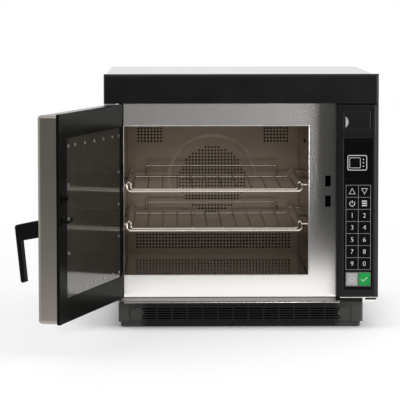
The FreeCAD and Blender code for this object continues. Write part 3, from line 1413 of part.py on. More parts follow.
def door_screw_places():
    """Centres of the screws round the inner panel: four corners and an even row between each two."""
    left, right, low, high = DOOR_SCREW_EDGES
    x0, x1 = INNER_LEFT + left, INNER_RIGHT - right
    z0, z1 = INNER_LOW + low, INNER_HIGH - high
    places = [(x, z) for x in (x0, x1) for z in (z0, z1)]
    for i in range(DOOR_SCREWS_BETWEEN_X):
        x = (x0 + x1) / 2 + (i - (DOOR_SCREWS_BETWEEN_X - 1) / 2) * DOOR_SCREW_PITCH_X
        places += [(x, z0), (x, z1)]
    for i in range(DOOR_SCREWS_BETWEEN_Z):
        z = (z0 + z1) / 2 + (i - (DOOR_SCREWS_BETWEEN_Z - 1) / 2) * DOOR_SCREW_PITCH_Z
        places += [(x0, z), (x1, z)]
    return places


def door_panel():
    """Reflective inner panel of the door."""
    gap = INNER_PANEL_GAP
    sheet = block(
        INNER_LEFT + gap, INNER_RIGHT - gap, INNER_BACK, INNER_FACE, INNER_LOW + gap, INNER_HIGH - gap
    )
    holes = [
        rod(V(x, INNER_BACK - 1, z), V(x, INNER_FACE + 1, z), DOOR_SCREW_RADIUS + 0.2)
        for x, z in door_screw_places()
    ]
    return less(sheet, holes)


def door_screws():
    """Low round-headed screws that hold the inner panel."""
    screws = []
    for x, z in door_screw_places():
        head = rod(V(x, INNER_FACE, z), V(x, INNER_FACE + DOOR_SCREW_HEAD, z), DOOR_SCREW_HEAD_RADIUS)
        shank = rod(
            V(x, INNER_BACK - SEAT_GAP - CORE_SHEET - 2, z), V(x, INNER_FACE + 0.5, z), DOOR_SCREW_RADIUS
        )
        screws.append(fused([head, shank]))
    return Part.makeCompound(screws)


def door_handle():
    """Handle with an arm that falls away from the door and a grip that hangs from it, leaning in."""
    out = DOOR_FACE
    elbow = HANDLE_ROOT_TOP - HANDLE_ARM_DROP
    foot = HANDLE_PROUD - HANDLE_GRIP_LEAN
    lean = HANDLE_GRIP_LEAN / (elbow - HANDLE_GRIP_BOTTOM)
    armpit = elbow - HANDLE_ROOT_HEIGHT + HANDLE_CORNER
    armpit_out = HANDLE_PROUD - HANDLE_GRIP_THICKNESS - lean * (elbow - armpit)
    outline = [
        (out, HANDLE_ROOT_TOP),
        (out - HANDLE_PROUD + HANDLE_CORNER, elbow),
        (out - HANDLE_PROUD, elbow - HANDLE_CORNER),
        (out - foot, HANDLE_GRIP_BOTTOM + HANDLE_CORNER),
        (out - foot + HANDLE_CORNER, HANDLE_GRIP_BOTTOM),
        (out - foot + HANDLE_GRIP_THICKNESS, HANDLE_GRIP_BOTTOM + HANDLE_CORNER / 2),
        (out - armpit_out, armpit),
        (out, HANDLE_ROOT_TOP - HANDLE_ROOT_HEIGHT),
    ]
    x1 = DOOR_FREE_EDGE - HANDLE_EDGE_INSET
    shape = prism_x(outline, x1 - HANDLE_WIDTH, x1)
    half = HANDLE_WIDTH / 2 - 0.01
    long_edges = [
        e
        for e in shape.Edges
        if abs(e.CenterOfMass.x - (x1 - HANDLE_WIDTH / 2)) > half and e.CenterOfMass.y < out - 0.01
    ]
    return shape.makeFillet(HANDLE_EDGE_RADIUS, long_edges)


def latch_hooks():
    """Two hooks on one bar that slides down inside the door to let go."""
    half = HOOK_THICKNESS / 2
    back = hook_bar_back()
    front = back + 8
    upper_end = COVER_FACE + UPPER_HOOK_REACH
    lower_end = COVER_FACE + LOWER_HOOK_REACH
    x0, x1 = HOOK_X - half, HOOK_X + half
    bar = block(x0, x1, back, front, LOWER_HOOK_LOW - 6, UPPER_HOOK_HIGH + 8)
    upper = prism_x(
        [
            (front - 1, UPPER_HOOK_LOW),
            (upper_end - 4, UPPER_HOOK_LOW),
            (upper_end, UPPER_HOOK_LOW + 3),
            (upper_end, UPPER_HOOK_HIGH - 2),
            (upper_end - 2, UPPER_HOOK_HIGH),
            (upper_end - 6, UPPER_HOOK_HIGH),
            (upper_end - 7.5, UPPER_HOOK_HIGH - 2),
            (front - 1, UPPER_HOOK_HIGH - 2),
        ],
        x0,
        x1,
    )
    lower = prism_x(
        [
            (front - 1, LOWER_HOOK_LOW),
            (lower_end - 5, LOWER_HOOK_LOW),
            (lower_end, LOWER_HOOK_LOW + 5),
            (lower_end - 0.8, LOWER_HOOK_TIP),
            (lower_end - 3.0, LOWER_HOOK_HIGH + 1.0),
            (lower_end - 6.0, LOWER_HOOK_HIGH),
            (front - 1, LOWER_HOOK_HIGH),
        ],
        x0,
        x1,
    )
    return fused([bar, upper, lower])


def hinge_brackets():
    """Two steel angle brackets on the frame, above and below the door."""
    x0 = LEFT + 1.5
    x1 = x0 + BRACKET_WIDTH
    y0 = FRONT - BRACKET_DEPTH
    brackets = []
    for level, way in hinge_pin_levels():
        near = level - way * (PANEL_TOP_GAP - 0.3)
        if way > 0:
            near = level - 3.1
        far = near - way * BRACKET_THICKNESS
        plate = rounded_block(x0, x1, y0, FRONT, min(near, far), max(near, far), 4.0)
        flange_end = far - way * (22.0 if way < 0 else far - FRAME_BOTTOM)
        flange = block(x0, x1, FRONT - BRACKET_FLANGE, FRONT, min(near, flange_end), max(near, flange_end))
        hole = rod(V(HINGE_X, HINGE_Y, level - 12), V(HINGE_X, HINGE_Y, level + 12), PIN_RADIUS)
        brackets.append(less(fused([plate, flange]), [hole]))
    return Part.makeCompound(brackets)


def hinge_pins():
    """Two hinge pins, each with a collar that spaces the door from its bracket."""
    pins = []
    for level, way in hinge_pin_levels():
        gap = 3.1 if way > 0 else PANEL_TOP_GAP - 0.3
        seat = level - way * gap
        start = seat - way * BRACKET_THICKNESS
        end = level + way * (PIN_REACH - 2)
        pieces = [rod(V(HINGE_X, HINGE_Y, start), V(HINGE_X, HINGE_Y, end), PIN_RADIUS)]
        pieces.append(
            rod(V(HINGE_X, HINGE_Y, seat), V(HINGE_X, HINGE_Y, level - way * SEAT_GAP), PIN_RADIUS + 2.5)
        )
        pins.append(fused(pieces))
    return Part.makeCompound(pins)


def opened(shape):
    """A door piece swung from closed to its open rest position."""
    shape.rotate(V(HINGE_X, HINGE_Y, 0), V(0, 0, 1), -DOOR_OPEN_ANGLE)
    return shape


def nodes():
    """Every piece by its name."""
    parts = {
        "outer_wrap": outer_wrap(),
        "back_panel": back_panel(),
        "cabinet_screws": cabinet_screws(),
        "mains_gland": mains_gland(),
        "base_pan": base_pan(),
        "base_skirt": base_skirt(),
        "feet": feet(),
        "filter_grille": filter_grille(),
        "front_frame": front_frame(),
        "sill_trim": sill_trim(),
        "cavity_liner": cavity_liner(),
        "fan_baffle": fan_baffle(),
        "floor_shelf": floor_shelf(),
        "rack_supports": rack_supports(),
        "lower_rack": wire_rack(RACK_LEVELS[0]),
        "upper_rack": wire_rack(RACK_LEVELS[1]),
        "heating_element": heating_element(),
        "fan_shaft": fan_shaft(),
        "fan_impeller": fan_impeller(),
        "fan_motor": fan_motor(),
        "insulation": insulation(),
        "waveguides": waveguides(),
        "magnetrons": magnetrons(),
        "transformers": transformers(),
        "blower_housing": blower_housing(),
        "blower_wheel": blower_wheel(),
        "blower_motor": blower_motor(),
        "interlock_switches": interlock_switches(),
        "top_bezel": top_bezel(),
        "keypad_overlay": keypad_overlay(),
        "display_window": display_window(),
        "port_cover": port_cover(),
        "service_port": service_port(),
        "control_housing": control_housing(),
        "control_board": control_board(),
        "hinge_brackets": hinge_brackets(),
        "hinge_pins": hinge_pins(),
    }
    for name, x0, x1, z0, z1 in key_boxes():
        parts[name] = key(x0, x1, z0, z1)
    closed = {
        "door_skin": door_skin(),
        "door_core": door_core(),
        "choke_cover": choke_cover(),
        "door_panel": door_panel(),
        "door_screws": door_screws(),
        "door_handle": door_handle(),
        "latch_hooks": latch_hooks(),
    }
    for name, shape in closed.items():
        parts[name] = opened(shape)
    return parts


def main():
    """Write one file for each piece."""
    os.makedirs("parts", exist_ok=True)
    for name, shape in nodes().items():
        solids = shape.Solids
        sound = all(s.isValid() for s in solids)
        print(
            f"{name}: {len(solids)} solids, {sum(s.Volume for s in solids) / 1000:.1f} cm3, valid {sound}"
        )
        shape.exportStep(f"parts/{name}.step")


main()
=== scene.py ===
"""Finishes, fine detail, stage and camera for the high-speed oven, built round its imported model."""

import json
import math

import bmesh
import bpy
from mathutils import Matrix, Vector


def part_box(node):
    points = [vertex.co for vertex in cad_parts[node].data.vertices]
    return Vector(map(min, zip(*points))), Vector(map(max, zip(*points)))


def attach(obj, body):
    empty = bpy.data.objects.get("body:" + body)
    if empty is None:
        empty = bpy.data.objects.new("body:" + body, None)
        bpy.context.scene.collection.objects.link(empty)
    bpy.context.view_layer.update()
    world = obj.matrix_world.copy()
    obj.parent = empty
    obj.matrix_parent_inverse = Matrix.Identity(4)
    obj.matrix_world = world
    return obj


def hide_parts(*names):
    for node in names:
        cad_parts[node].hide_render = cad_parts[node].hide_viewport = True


bl_info = {
    "name": "High-speed oven",
    "version": (1, 0, 0),
    "blender": (4, 5, 0),
    "location": "3D View > Sidebar > Oven",
    "description": "Gives the oven its finishes, its fine detail and its stage",
    "category": "Object",
}

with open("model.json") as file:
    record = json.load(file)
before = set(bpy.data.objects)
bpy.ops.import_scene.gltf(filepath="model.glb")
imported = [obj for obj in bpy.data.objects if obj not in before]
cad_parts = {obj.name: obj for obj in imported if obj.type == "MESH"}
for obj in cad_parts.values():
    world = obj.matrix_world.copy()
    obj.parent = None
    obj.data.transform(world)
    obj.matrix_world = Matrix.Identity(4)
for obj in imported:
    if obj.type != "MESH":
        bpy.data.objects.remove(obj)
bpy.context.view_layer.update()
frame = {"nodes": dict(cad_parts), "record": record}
BAFFLE_LOW, BAFFLE_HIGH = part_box("fan_baffle")
DISPLAY_LOW, DISPLAY_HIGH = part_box("display_window")
MM = 0.001
NEAR = 1e-6

# The rear wall's disc and blocks of holes, in metres or in counts of holes
WALL_MIDDLE = (BAFFLE_LOW.x + BAFFLE_HIGH.x) / 2
DISC_X = WALL_MIDDLE - 0.0015
DISC_Z = 0.2385
DISC_SEGMENTS = 84
DISC_SQUARE = 28
LIP_WIDTH = 0.0020
LIP_RISE = 0.0003
SLOPE_WIDTH = 0.0035
FIELD_CELLS = 21
FIELD_RADIUS_SQUARED = 105
SIDE_BLOCKS_X = (-0.1664, 0.0773)
SIDE_BLOCKS_Z = 0.3242
SIDE_COLUMNS = 8
LOW_BLOCK_X = WALL_MIDDLE + 0.0002
LOW_BLOCK_Z = 0.1182
LOW_COLUMNS = 48
BLOCK_ROWS = 5

# Nodes whose finish isn't their slot's own, and the materials by name
OWN_FINISH = {
    # The fan's parts behind the rear wall get near black metal, painted shade for the dark fan chamber
    # seen through the holes
    "fan_impeller": "soot_and_shade_metal",
    "fan_shaft": "soot_and_shade_metal",
    "filter_grille": "grille_plastic",
    "sill_trim": "sill_steel",
}
MADE = {}


def length(name, description, default):
    """A length property, given in millimetres."""
    return bpy.props.FloatProperty(
        name=name, description=description, default=default * MM, unit="LENGTH", precision=5
    )


def colour(name, default):
    """A colour property for one finish."""
    return bpy.props.FloatVectorProperty(
        name=name,
        description="Colour of the " + name.lower(),
        default=default,
        size=3,
        min=0.0,
        max=1.0,
        subtype="COLOR",
    )


def lamp_power(name, description, default):
    """A lamp's power property, in watts."""
    return bpy.props.FloatProperty(name=name, description=description, default=default, unit="POWER")


def brightness(name, description, default, most=10.0):
    """A brightness property."""
    return bpy.props.FloatProperty(name=name, description=description, default=default, min=0.0, max=most)


class OvenColours(bpy.types.PropertyGroup):
    """Colours of the oven's finishes."""

    casing_steel: colour("Casing steel", (0.63, 0.625, 0.615))
    front_steel: colour("Front frame steel", (0.82, 0.80, 0.77))
    sill_steel: colour("Sill steel", (0.235, 0.222, 0.208))
    door_steel: colour("Door steel", (0.325, 0.296, 0.268))
    door_panel_steel: colour("Door panel steel", (0.030, 0.027, 0.023))
    cavity_steel: colour("Cavity steel", (0.45, 0.365, 0.285))
    zinc_sheet: colour("Zinc plated sheet", (0.55, 0.56, 0.57))
    chrome_wire: colour("Chromed wire", (0.74, 0.68, 0.59))
    screw_steel: colour("Screws", (0.62, 0.61, 0.59))
    # Painted highlight on the rim round the raised disc
    rim_highlight: colour("Rim of the raised disc", (0.68, 0.60, 0.50))
    # Near black metal: painted shade on the fan and heater behind the rear wall; the cavity sensor uses
    # it too
    soot_and_shade_metal: colour("Heat-darkened metal and painted shade", (0.020, 0.016, 0.013))
    black_moulding: colour("Black door moulding", (0.006, 0.006, 0.0055))
    base_plastic: colour("Base plastic", (0.056, 0.060, 0.053))
    grille_plastic: colour("Grille plastic", (0.056, 0.058, 0.052))
    bezel_plastic: colour("Bezel plastic", (0.006, 0.006, 0.0055))
    handle_plastic: colour("Handle plastic", (0.005, 0.005, 0.005))
    overlay_film: colour("Keypad film", (0.0032, 0.0032, 0.0035))
    key_black: colour("Black keys", (0.0032, 0.0032, 0.0035))
    key_grey: colour("Grey key", (0.36, 0.37, 0.36))
    key_green: colour("Green key", (0.002, 0.29, 0.05))
    label_white: colour("Key labels", (0.55, 0.55, 0.55))
    line_grey: colour("Keypad lines", (0.22, 0.22, 0.22))
    display_glass: colour("Display glass", (0.0036, 0.0036, 0.0039))
    shelf_ceramic: colour("Ceramic floor plate", (0.035, 0.034, 0.032))
    foot_rubber: colour("Foot rubber", (0.018, 0.018, 0.018))
    fibre: colour("Insulation fibre", (0.62, 0.58, 0.48))
    motor_paint: colour("Motor paint", (0.16, 0.17, 0.18))
    core_iron: colour("Transformer core", (0.20, 0.17, 0.15))
    cast_aluminium: colour("Cast aluminium", (0.62, 0.62, 0.61))
    circuit_board: colour("Circuit board", (0.02, 0.13, 0.05))


class OvenSizes(bpy.types.PropertyGroup):
    """Sizes of the oven's fine detail."""

    hole_pitch: length("Hole pitch", "Spacing of the holes in the rear wall", 6.25)
    hole_width: length("Hole width", "Width of one hole in the rear wall", 3.95)
    disc_radius: length("Disc radius", "Radius of the raised disc over the fan", 86.0)
    disc_rise: length("Disc rise", "How far the disc stands out of the rear wall", 0.9)
    field_rise: length("Hole field rise", "How far the holes' middle is above the disc's", -0.8)
    sheet: length("Sheet", "Thickness of the perforated rear wall", 1.0)
    line_width: length("Line width", "Width of the lines printed round the keys", 0.7)
    print_thickness: length("Print thickness", "Thickness of the printed labels", 0.04)
    digit_height: length("Digit height", "Height of a digit on a key", 8.2)
    stroke: length("Stroke", "Width of the lines that draw a symbol", 0.8)


class OvenStage(bpy.types.PropertyGroup):
    """Floor, backdrop, lamps and camera."""

    floor_height: length("Floor height", "Height of the floor below the base", -3.0)
    floor_reach: length("Floor reach", "How far the floor reaches in front of the oven", 1350.0)
    floor_side: length("Floor side", "How far the floor reaches to each side", 850.0)
    floor_colour: colour("Floor and backdrop", (0.93, 0.93, 0.93))
    key_power: lamp_power("Key lamp", "Power of the large lamp above the front", 10.0)
    side_power: lamp_power("Side lamp", "Power of the lamp at the right", 10.0)
    front_power: lamp_power("Front lamp", "Power of the lamp above the camera", 7.0)
    low_power: lamp_power("Low lamp", "Power of the lamp on the table in front", 0.45)
    front_level: brightness("Front level", "Brightness of the room straight in front", 0.06)
    left_level: brightness("Left level", "Brightness of the room at the left", 0.9)
    right_level: brightness("Right level", "Brightness of the room at the right", 1.2)
    floor_glow: brightness("Floor glow", "Share of plain white in the floor near the oven", 0.55, 1.0)
    lens: bpy.props.FloatProperty(
        name="Lens", description="Focal length on a 36 mm sensor", default=236.9, unit="CAMERA"
    )


# Materials


class Finish:
    """A node material built up from a principled shader on object coordinates."""

    def __init__(self, name, base, metallic, roughness, specular=0.5):
        """Makes the material and sets its shader."""
        self.material = bpy.data.materials.new(name)
        MADE[name] = self.material
        self.material.use_nodes = True
        self.nodes = self.material.node_tree.nodes
        self.links = self.material.node_tree.links
        self.shader = self.nodes["Principled BSDF"]
        self.base = tuple(base) + (1.0,)
        self.shader.inputs["Metallic"].default_value = metallic
        self.shader.inputs["Roughness"].default_value = roughness
        self.shader.inputs["Base Color"].default_value = self.base
        self.shader.inputs["Specular IOR Level"].default_value = specular
        self.height = None
        self.colour = None
        self.coordinates = self.nodes.new("ShaderNodeTexCoord")

    def noise(self, scale, detail=4.0, stretch=(1.0, 1.0, 1.0), roughness=0.55):
        """Noise on the object's coordinates, stretched along an axis for grain."""
        mapping = self.nodes.new("ShaderNodeMapping")
        mapping.inputs["Scale"].default_value = stretch
        self.links.new(self.coordinates.outputs["Object"], mapping.inputs["Vector"])
        texture = self.nodes.new("ShaderNodeTexNoise")
        texture.inputs["Scale"].default_value = scale
        texture.inputs["Detail"].default_value = detail
        texture.inputs["Roughness"].default_value = roughness
        self.links.new(mapping.outputs["Vector"], texture.inputs["Vector"])
        return texture.outputs["Fac"]

    def spread(self, value, low, high, start=0.3, end=0.7):
        """A value's middle range turned into another range."""
        node = self.nodes.new("ShaderNodeMapRange")
        node.inputs["From Min"].default_value = start
        node.inputs["From Max"].default_value = end
        node.inputs["To Min"].default_value = low
        node.inputs["To Max"].default_value = high
        self.links.new(value, node.inputs["Value"])
        return node.outputs["Result"]

    def tint(self, value, dark, light=1.0, start=0.3, end=0.7):
        """The base colour, darkened where the value is low."""
        ramp = self.nodes.new("ShaderNodeValToRGB")
        ramp.color_ramp.elements[0].position = start
        ramp.color_ramp.elements[1].position = end
        ramp.color_ramp.elements[0].color = tuple(c * dark for c in self.base[:3]) + (1.0,)
        ramp.color_ramp.elements[1].color = tuple(min(1.0, c * light) for c in self.base[:3]) + (1.0,)
        self.links.new(value, ramp.inputs["Fac"])
        return ramp.outputs["Color"]

    def multiply(self, first, second):
        """Two colours multiplied."""
        node = self.nodes.new("ShaderNodeMix")
        node.data_type = "RGBA"
        node.blend_type = "MULTIPLY"
        node.inputs["Factor"].default_value = 1.0
        self.links.new(first, node.inputs["A"])
        self.links.new(second, node.inputs["B"])
        return node.outputs["Result"]

    def sum(self, operation, first, second=None):
        """One sum on a value, alone or with another value or a number."""
        node = self.nodes.new("ShaderNodeMath")
        node.operation = operation
        self.links.new(first, node.inputs[0])
        if isinstance(second, float):
            node.inputs[1].default_value = second
        elif second is not None:
            self.links.new(second, node.inputs[1])
        return node.outputs["Value"]

    def axis(self, name, absolute=False):
        """One of the object's coordinates, or its size."""
        parts = self.nodes.new("ShaderNodeSeparateXYZ")
        self.links.new(self.coordinates.outputs["Object"], parts.inputs["Vector"])
        return self.sum("ABSOLUTE", parts.outputs[name]) if absolute else parts.outputs[name]

    def band(self, value, middle, half, inside):
        """A level inside a band of values that fades to full outside it."""
        fade = 0.0004
        offset = self.sum("ABSOLUTE", self.sum("SUBTRACT", value, middle))
        return self.spread(offset, inside, 1.0, half - fade, half + fade)

    def soften(self, radius):
        """Rounds sharp edges in the shading."""
        node = self.nodes.new("ShaderNodeBevel")
        node.samples = 4
        node.inputs["Radius"].default_value = radius
        self.height = node.outputs["Normal"]

    def distance_in_front(self, x, z):
        """Distance from a point, as seen from the front."""
        flat = self.nodes.new("ShaderNodeVectorMath")
        flat.operation = "MULTIPLY"
        flat.inputs[1].default_value = (1.0, 0.0, 1.0)
        self.links.new(self.coordinates.outputs["Object"], flat.inputs[0])
        gap = self.nodes.new("ShaderNodeVectorMath")
        gap.operation = "DISTANCE"
        gap.inputs[1].default_value = (x, 0.0, z)
        self.links.new(flat.outputs["Vector"], gap.inputs[0])
        return gap.outputs["Value"]

    def set_colour(self, value):
        """Sets the base colour from a value."""
        self.colour = value
        self.links.new(value, self.shader.inputs["Base Color"])

    def shade(self, value):
        """Darkens the base colour by a value."""
        self.set_colour(self.multiply(self.colour, value))

    def set_roughness(self, value):
        """Sets the roughness from a value."""
        self.links.new(value, self.shader.inputs["Roughness"])

    def bump(self, value, strength, depth):
        """Adds a bump on top of the earlier ones."""
        node = self.nodes.new("ShaderNodeBump")
        node.inputs["Strength"].default_value = strength
        node.inputs["Distance"].default_value = depth
        self.links.new(value, node.inputs["Height"])
        if self.height is not None:
            self.links.new(self.height, node.inputs["Normal"])
        self.height = node.outputs["Normal"]
        self.links.new(self.height, self.shader.inputs["Normal"])


def brushed_metal(
    name, base, roughness, grain, mottle=0.94, across=0.0, line=0.93, depth=0.00001, vary=0.03
):
    """Sheet metal with fine lines along one or two axes and a slow change of tone."""
    finish = Finish(name, base, 1.0, roughness)
    finish.shader.inputs["Anisotropic"].default_value = across
    fine = finish.noise(1.0, 3.0, [12.0 if axis in grain else 1500.0 for axis in "XYZ"], 0.6)
    wide = finish.noise(1.0, 4.0, [3.0 if axis in grain else 120.0 for axis in "XYZ"], 0.6)
    cloud = finish.noise(7.0, 3.0)
    tone = finish.multiply(finish.tint(fine, line, 1.04), grey_tint(finish, wide, (1.0 + mottle) / 2))
    finish.set_colour(finish.multiply(tone, grey_tint(finish, cloud, mottle)))
    finish.set_roughness(finish.spread(fine, roughness - vary, roughness + vary))
    finish.bump(fine, 0.35, depth)
    return finish


def grey_tint(finish, value, dark):
    """A grey between a dark level and white, from a value."""
    ramp = finish.nodes.new("ShaderNodeValToRGB")
    ramp.color_ramp.elements[0].position = 0.3
    ramp.color_ramp.elements[1].position = 0.7
    ramp.color_ramp.elements[0].color = (dark, dark, dark, 1.0)
    finish.links.new(value, ramp.inputs["Fac"])
    return ramp.outputs["Color"]


def plain_metal(name, base, roughness, mottle=0.9, pit=0.00001):
    """Metal with a slightly uneven surface and no grain."""
    finish = Finish(name, base, 1.0, roughness)
    cloud = finish.noise(35.0, 5.0)
    fine = finish.noise(900.0, 3.0)
    finish.set_colour(finish.tint(cloud, mottle, 1.05))
    finish.set_roughness(finish.spread(cloud, roughness - 0.05, roughness + 0.08))
    finish.bump(fine, 0.3, pit)
    return finish


def rack_wire(name, base):
    """Polished wire, darkened by painted shade between the racks' front rail and rear bar."""
    finish = plain_metal(name, base, 0.14)
    low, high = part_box("upper_rack")
    start = low.y + 0.013
    end = high.y - 0.009
    # Painted shade on the cross wires and side rails between the bright front rail and rear bar
    finish.shade(finish.band(finish.axis("Y"), (start + end) / 2, (end - start) / 2, 0.15))
    return finish


def moulded_plastic(name, base, roughness, specular=0.5, grain=0.00003, edge=0.0):
    """Moulded plastic with a fine texture, faint rub marks and softened edges."""
    finish = Finish(name, base, 0.0, roughness, specular)
    if edge:
        finish.soften(edge)
    fine = finish.noise(1400.0, 2.0)
    cloud = finish.noise(18.0, 4.0)
    finish.set_colour(finish.tint(cloud, 0.85, 1.15))
    finish.set_roughness(finish.spread(cloud, roughness - 0.04, roughness + 0.05))
    finish.bump(fine, 0.4, grain)
    return finish


def gloss_film(name, base, roughness, specular=0.5):
    """Smooth film, glass or polished sheet, with a few faint smears."""
    finish = Finish(name, base, 0.0, roughness, specular)
    smear = finish.noise(9.0, 5.0, (1.0, 1.0, 2.5))
    finish.set_colour(finish.tint(smear, 0.9, 1.1))
    finish.set_roughness(finish.spread(smear, roughness - 0.02, roughness + 0.04))
    finish.bump(finish.noise(300.0, 2.0), 0.1, 0.00001)
    return finish


def print_ink(name, base):
    """Matt printed ink with a little unevenness."""
    finish = Finish(name, base, 0.0, 0.45)
    cloud = finish.noise(220.0, 3.0)
    finish.set_colour(finish.tint(cloud, 0.92, 1.0))
    finish.bump(finish.noise(2500.0, 2.0), 0.2, 0.00001)
    return finish


def blanket_fibre(name, base):
    """Matted mineral fibre."""
    finish = Finish(name, base, 0.0, 0.95)
    strands = finish.noise(160.0, 8.0, (1.0, 3.0, 1.0), 0.75)
    lumps = finish.noise(22.0, 4.0)
    finish.set_colour(finish.multiply(finish.tint(strands, 0.6, 1.1), grey_tint(finish, lumps, 0.8)))
    finish.bump(lumps, 0.6, 0.002)
    finish.bump(strands, 0.7, 0.0006)
    return finish


def glazed_ceramic(name, base):
    """Dark glazed ceramic with faint specks."""
    finish = Finish(name, base, 0.0, 0.06)
    finish.shader.inputs["IOR"].default_value = 1.6
    specks = finish.noise(700.0, 2.0)
    cloud = finish.noise(12.0, 4.0)
    finish.set_colour(finish.tint(specks, 0.75, 1.5, 0.42, 0.72))
    finish.set_roughness(finish.spread(cloud, 0.04, 0.08))
    finish.bump(cloud, 0.1, 0.0001)
    return finish


def board_laminate(name, base):
    """Circuit board laminate with copper tracks under the lacquer."""
    finish = Finish(name, base, 0.0, 0.35)
    tracks = finish.noise(90.0, 2.0, (1.0, 1.0, 0.35))
    finish.set_colour(finish.tint(tracks, 0.6, 1.9, 0.48, 0.52))
    finish.bump(tracks, 0.3, 0.0001)
    return finish


def cavity_metal(name, base):
    """Warm dark steel, with painted shade making it near black behind the rear wall."""
    finish = brushed_metal(name, base, 0.20, "X")
    # Painted shade: behind the rear wall the liner is darkened to near black, as the fan chamber seen
    # through the holes
    shade_start = BAFFLE_LOW.y + 0.002
    finish.shade(finish.spread(finish.axis("Y"), 1.0, 0.05, shade_start, shade_start + 0.001))
    return finish


def rear_wall_metal(name, base, rim, sizes):
    """Warm dark steel with a painted highlight on the rim round the raised disc, palest at its top where
    the light falls.
    """
    finish = brushed_metal(name, rim, 0.34, "X")
    rim_start = sizes.disc_radius - 0.0075
    rim_full = sizes.disc_radius - 0.0045
    rim_fade = sizes.disc_radius - 0.0005
    rim_end = sizes.disc_radius + 0.0015
    lower_edge = DISC_Z - 0.05
    upper_edge = DISC_Z + 0.04
    gap = finish.distance_in_front(DISC_X, DISC_Z)
    inner = finish.spread(gap, 0.0, 1.0, rim_start, rim_full)
    outer = finish.spread(gap, 1.0, 0.0, rim_fade, rim_end)
    # Painted highlight: the rim's lighter colour fades out towards the bottom, as light from above would
    upper = finish.spread(finish.axis("Z"), 0.12, 1.0, lower_edge, upper_edge)
    ramp = finish.nodes.new("ShaderNodeValToRGB")
    ramp.color_ramp.elements[0].color = tuple(b / r for b, r in zip(base, rim)) + (1.0,)
    finish.links.new(finish.multiply(finish.multiply(inner, outer), upper), ramp.inputs["Fac"])
    finish.shade(ramp.outputs["Color"])
    return finish


def sill_metal(name, base):
    """Brushed steel, with a painted shadow along the top where it meets the frame."""
    finish = brushed_metal(name, base, 0.30, "X")
    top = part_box("sill_trim")[1].z
    # Painted shadow of the gap between the frame and the sill
    finish.shade(finish.spread(finish.axis("Z"), 1.0, 0.25, top - 0.0016, top - 0.0008))
    return finish


def frame_metal(name, base):
    """Brushed steel with painted shade, a near black band, along the hinge side of the opening."""
    finish = brushed_metal(
        name, base, 0.26, "Z", mottle=0.985, across=1.0, line=0.97, depth=0.0000005, vary=0.010
    )
    # Painted shade: a near black band on the frame beside the door's hinge side
    shade_middle = -0.2138
    shade_half = 0.0040
    finish.shade(finish.band(finish.axis("X"), shade_middle, shade_half, 0.03))
    return finish


def skirt_plastic(name, base, dark):
    """Black plastic, paler at the ends of the base."""
    finish = moulded_plastic(name, base, 0.5, specular=0.3)
    ends_start = 0.168
    ends_full = 0.182
    finish.shade(finish.spread(finish.axis("X", True), dark, 1.0, ends_start, ends_full))
    return finish


def all_finishes(colours, sizes):
    """Makes every finish, each named after its material slot or its own colour."""
    brushed_metal("casing_steel", colours.casing_steel, 0.30, "X")
    frame_metal("front_steel", colours.front_steel)
    sill_metal("sill_steel", colours.sill_steel)
    brushed_metal("door_steel", colours.door_steel, 0.36, "XY")
    gloss_film("door_panel_steel", colours.door_panel_steel, 0.07)
    cavity_metal("cavity_steel", colours.cavity_steel)
    rear_wall_metal("rear_wall_steel_painted_rim", colours.cavity_steel, colours.rim_highlight, sizes)
    plain_metal("zinc_sheet", colours.zinc_sheet, 0.38)
    rack_wire("chrome_wire", colours.chrome_wire)
    plain_metal("screw_steel", colours.screw_steel, 0.30)
    # Near black metal on the fan and heater behind the rear wall is painted shade
    plain_metal("soot_and_shade_metal", colours.soot_and_shade_metal, 0.5)
    plain_metal("heater_sheath", colours.soot_and_shade_metal, 0.45, mottle=0.7, pit=0.00005)
    moulded_plastic("black_moulding", colours.black_moulding, 0.22, specular=0.01, grain=0.00001)
    skirt_plastic("base_plastic", colours.base_plastic, 0.12)
    skirt_plastic("grille_plastic", colours.grille_plastic, 0.06)
    moulded_plastic("bezel_plastic", colours.bezel_plastic, 0.36, specular=0.24, edge=0.004)
    moulded_plastic("handle_plastic", colours.handle_plastic, 0.40, specular=0.08)
    gloss_film("overlay_film", colours.overlay_film, 0.25, specular=0.07)
    gloss_film("key_black", colours.key_black, 0.28, specular=0.07)
    moulded_plastic("key_grey", colours.key_grey, 0.40, specular=0.3, grain=0.00001)
    moulded_plastic("key_green", colours.key_green, 0.40, specular=0.3, grain=0.00001)
    gloss_film("display_glass", colours.display_glass, 0.20, specular=0.05)
    glazed_ceramic("shelf_ceramic", colours.shelf_ceramic)
    moulded_plastic("foot_rubber", colours.foot_rubber, 0.75, grain=0.0001)
    blanket_fibre("fibre", colours.fibre)
    moulded_plastic("motor_paint", colours.motor_paint, 0.45, grain=0.0001)
    brushed_metal("core_iron", colours.core_iron, 0.50, "X")
    plain_metal("cast_aluminium", colours.cast_aluminium, 0.42, mottle=0.8, pit=0.0001)
    board_laminate("circuit_board", colours.circuit_board)
    print_ink("label_white", colours.label_white)
    print_ink("line_grey", colours.line_grey)


def material(name):
    """The material of a finish made earlier."""
    return MADE[name]


# Mesh helpers


def finish_piece(name, bm, body, slot, material_name=None):
    """Turns a bmesh into a piece that rides on a body and has a finish."""
    mesh = bpy.data.meshes.new(name)
    bm.to_mesh(mesh)
    bm.free()
    piece = bpy.data.objects.new(name, mesh)
    bpy.context.scene.collection.objects.link(piece)
    mesh.materials.append(material(material_name or slot))
    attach(piece, body)
    return piece


def add_plate(bm, low, high):
    """Adds a thin plate between two corners."""
    made = bmesh.ops.create_cube(bm, size=1.0)
    size = Vector(high) - Vector(low)
    centre = (Vector(high) + Vector(low)) / 2
    bmesh.ops.scale(bm, vec=size, verts=made["verts"])
    bmesh.ops.translate(bm, vec=centre, verts=made["verts"])


